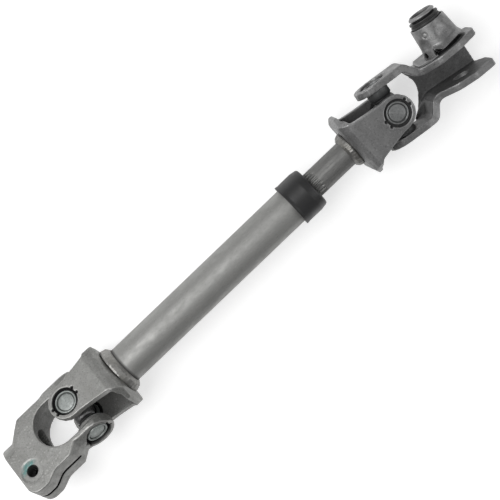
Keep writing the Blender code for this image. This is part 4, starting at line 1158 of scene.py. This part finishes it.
def floor():
    """Pale floor that shows white and keeps the shaft's shadow."""
    far = 3.0
    corners = [(-far, -far, 0.0), (far, -far, 0.0), (far, far, 0.0), (-far, far, 0.0)]
    item = mesh_piece("floor", corners, [(0, 1, 2, 3)])
    material, tree, shader = material_of("floor_white")
    shader.inputs["Base Color"].default_value = (0.72, 0.72, 0.72, 1.0)
    shader.inputs["Roughness"].default_value = 0.9
    glow = node_of(tree, 'ShaderNodeEmission', in_Color=WHITE, in_Strength=0.55)
    path = tree.nodes.new('ShaderNodeLightPath')
    seen = math_of(tree, 'ADD', path.outputs['Is Camera Ray'], path.outputs['Is Glossy Ray'], clamp=True)
    both = tree.nodes.new('ShaderNodeAddShader')
    tree.links.new(shader.outputs[0], both.inputs[0])
    tree.links.new(glow.outputs[0], both.inputs[1])
    mix_shaders(tree, seen, shader.outputs[0], both.outputs[0], "Material Output")
    item.data.materials.append(material)


def world():
    """Soft even surroundings that show white behind the object."""
    surroundings = bpy.data.worlds.new("studio")
    bpy.context.scene.world = surroundings
    surroundings.use_nodes = True
    tree = surroundings.node_tree
    background = tree.nodes["Background"]
    path = tree.nodes.new('ShaderNodeLightPath')
    light = node_of(tree, 'ShaderNodeBackground', in_Color=WHITE, in_Strength=0.20)
    background.inputs["Color"].default_value = WHITE
    background.inputs["Strength"].default_value = 1.0
    mix_shaders(tree, path.outputs['Is Camera Ray'], light.outputs[0], background.outputs[0],
                "World Output")


def lamp(name, position, size, power):
    """Soft square area lamp that points at the frame's origin."""
    data = bpy.data.lights.new(name, 'AREA')
    data.shape = 'SQUARE'
    data.size = size
    data.energy = power
    item = bpy.data.objects.new(name, data)
    item.location = position
    item.rotation_mode = 'QUATERNION'
    item.rotation_quaternion = (-Vector(position)).to_track_quat('-Z', 'Y')
    bpy.context.scene.collection.objects.link(item)


def camera():
    """Camera at the photograph's viewing angle."""
    data = bpy.data.cameras.new("photo_camera")
    data.sensor_width = 36.0
    data.lens = CAMERA_LENS
    data.clip_start = 0.01
    item = bpy.data.objects.new("photo_camera", data)
    back = CAMERA_RIGHT.cross(CAMERA_UP)
    matrix = Matrix((CAMERA_RIGHT, CAMERA_UP, back)).transposed().to_4x4()
    matrix.translation = LOWER + CAMERA_PLACE
    item.matrix_world = matrix
    bpy.context.scene.collection.objects.link(item)
    bpy.context.scene.camera = item


floor()
world()
lamp("key", (-0.45, 0.55, 0.95), 0.9, 11.5)
lamp("fill", (0.75, -0.35, 0.70), 0.7, 2.5)
camera()
bpy.context.scene.view_settings.view_transform = 'Standard'
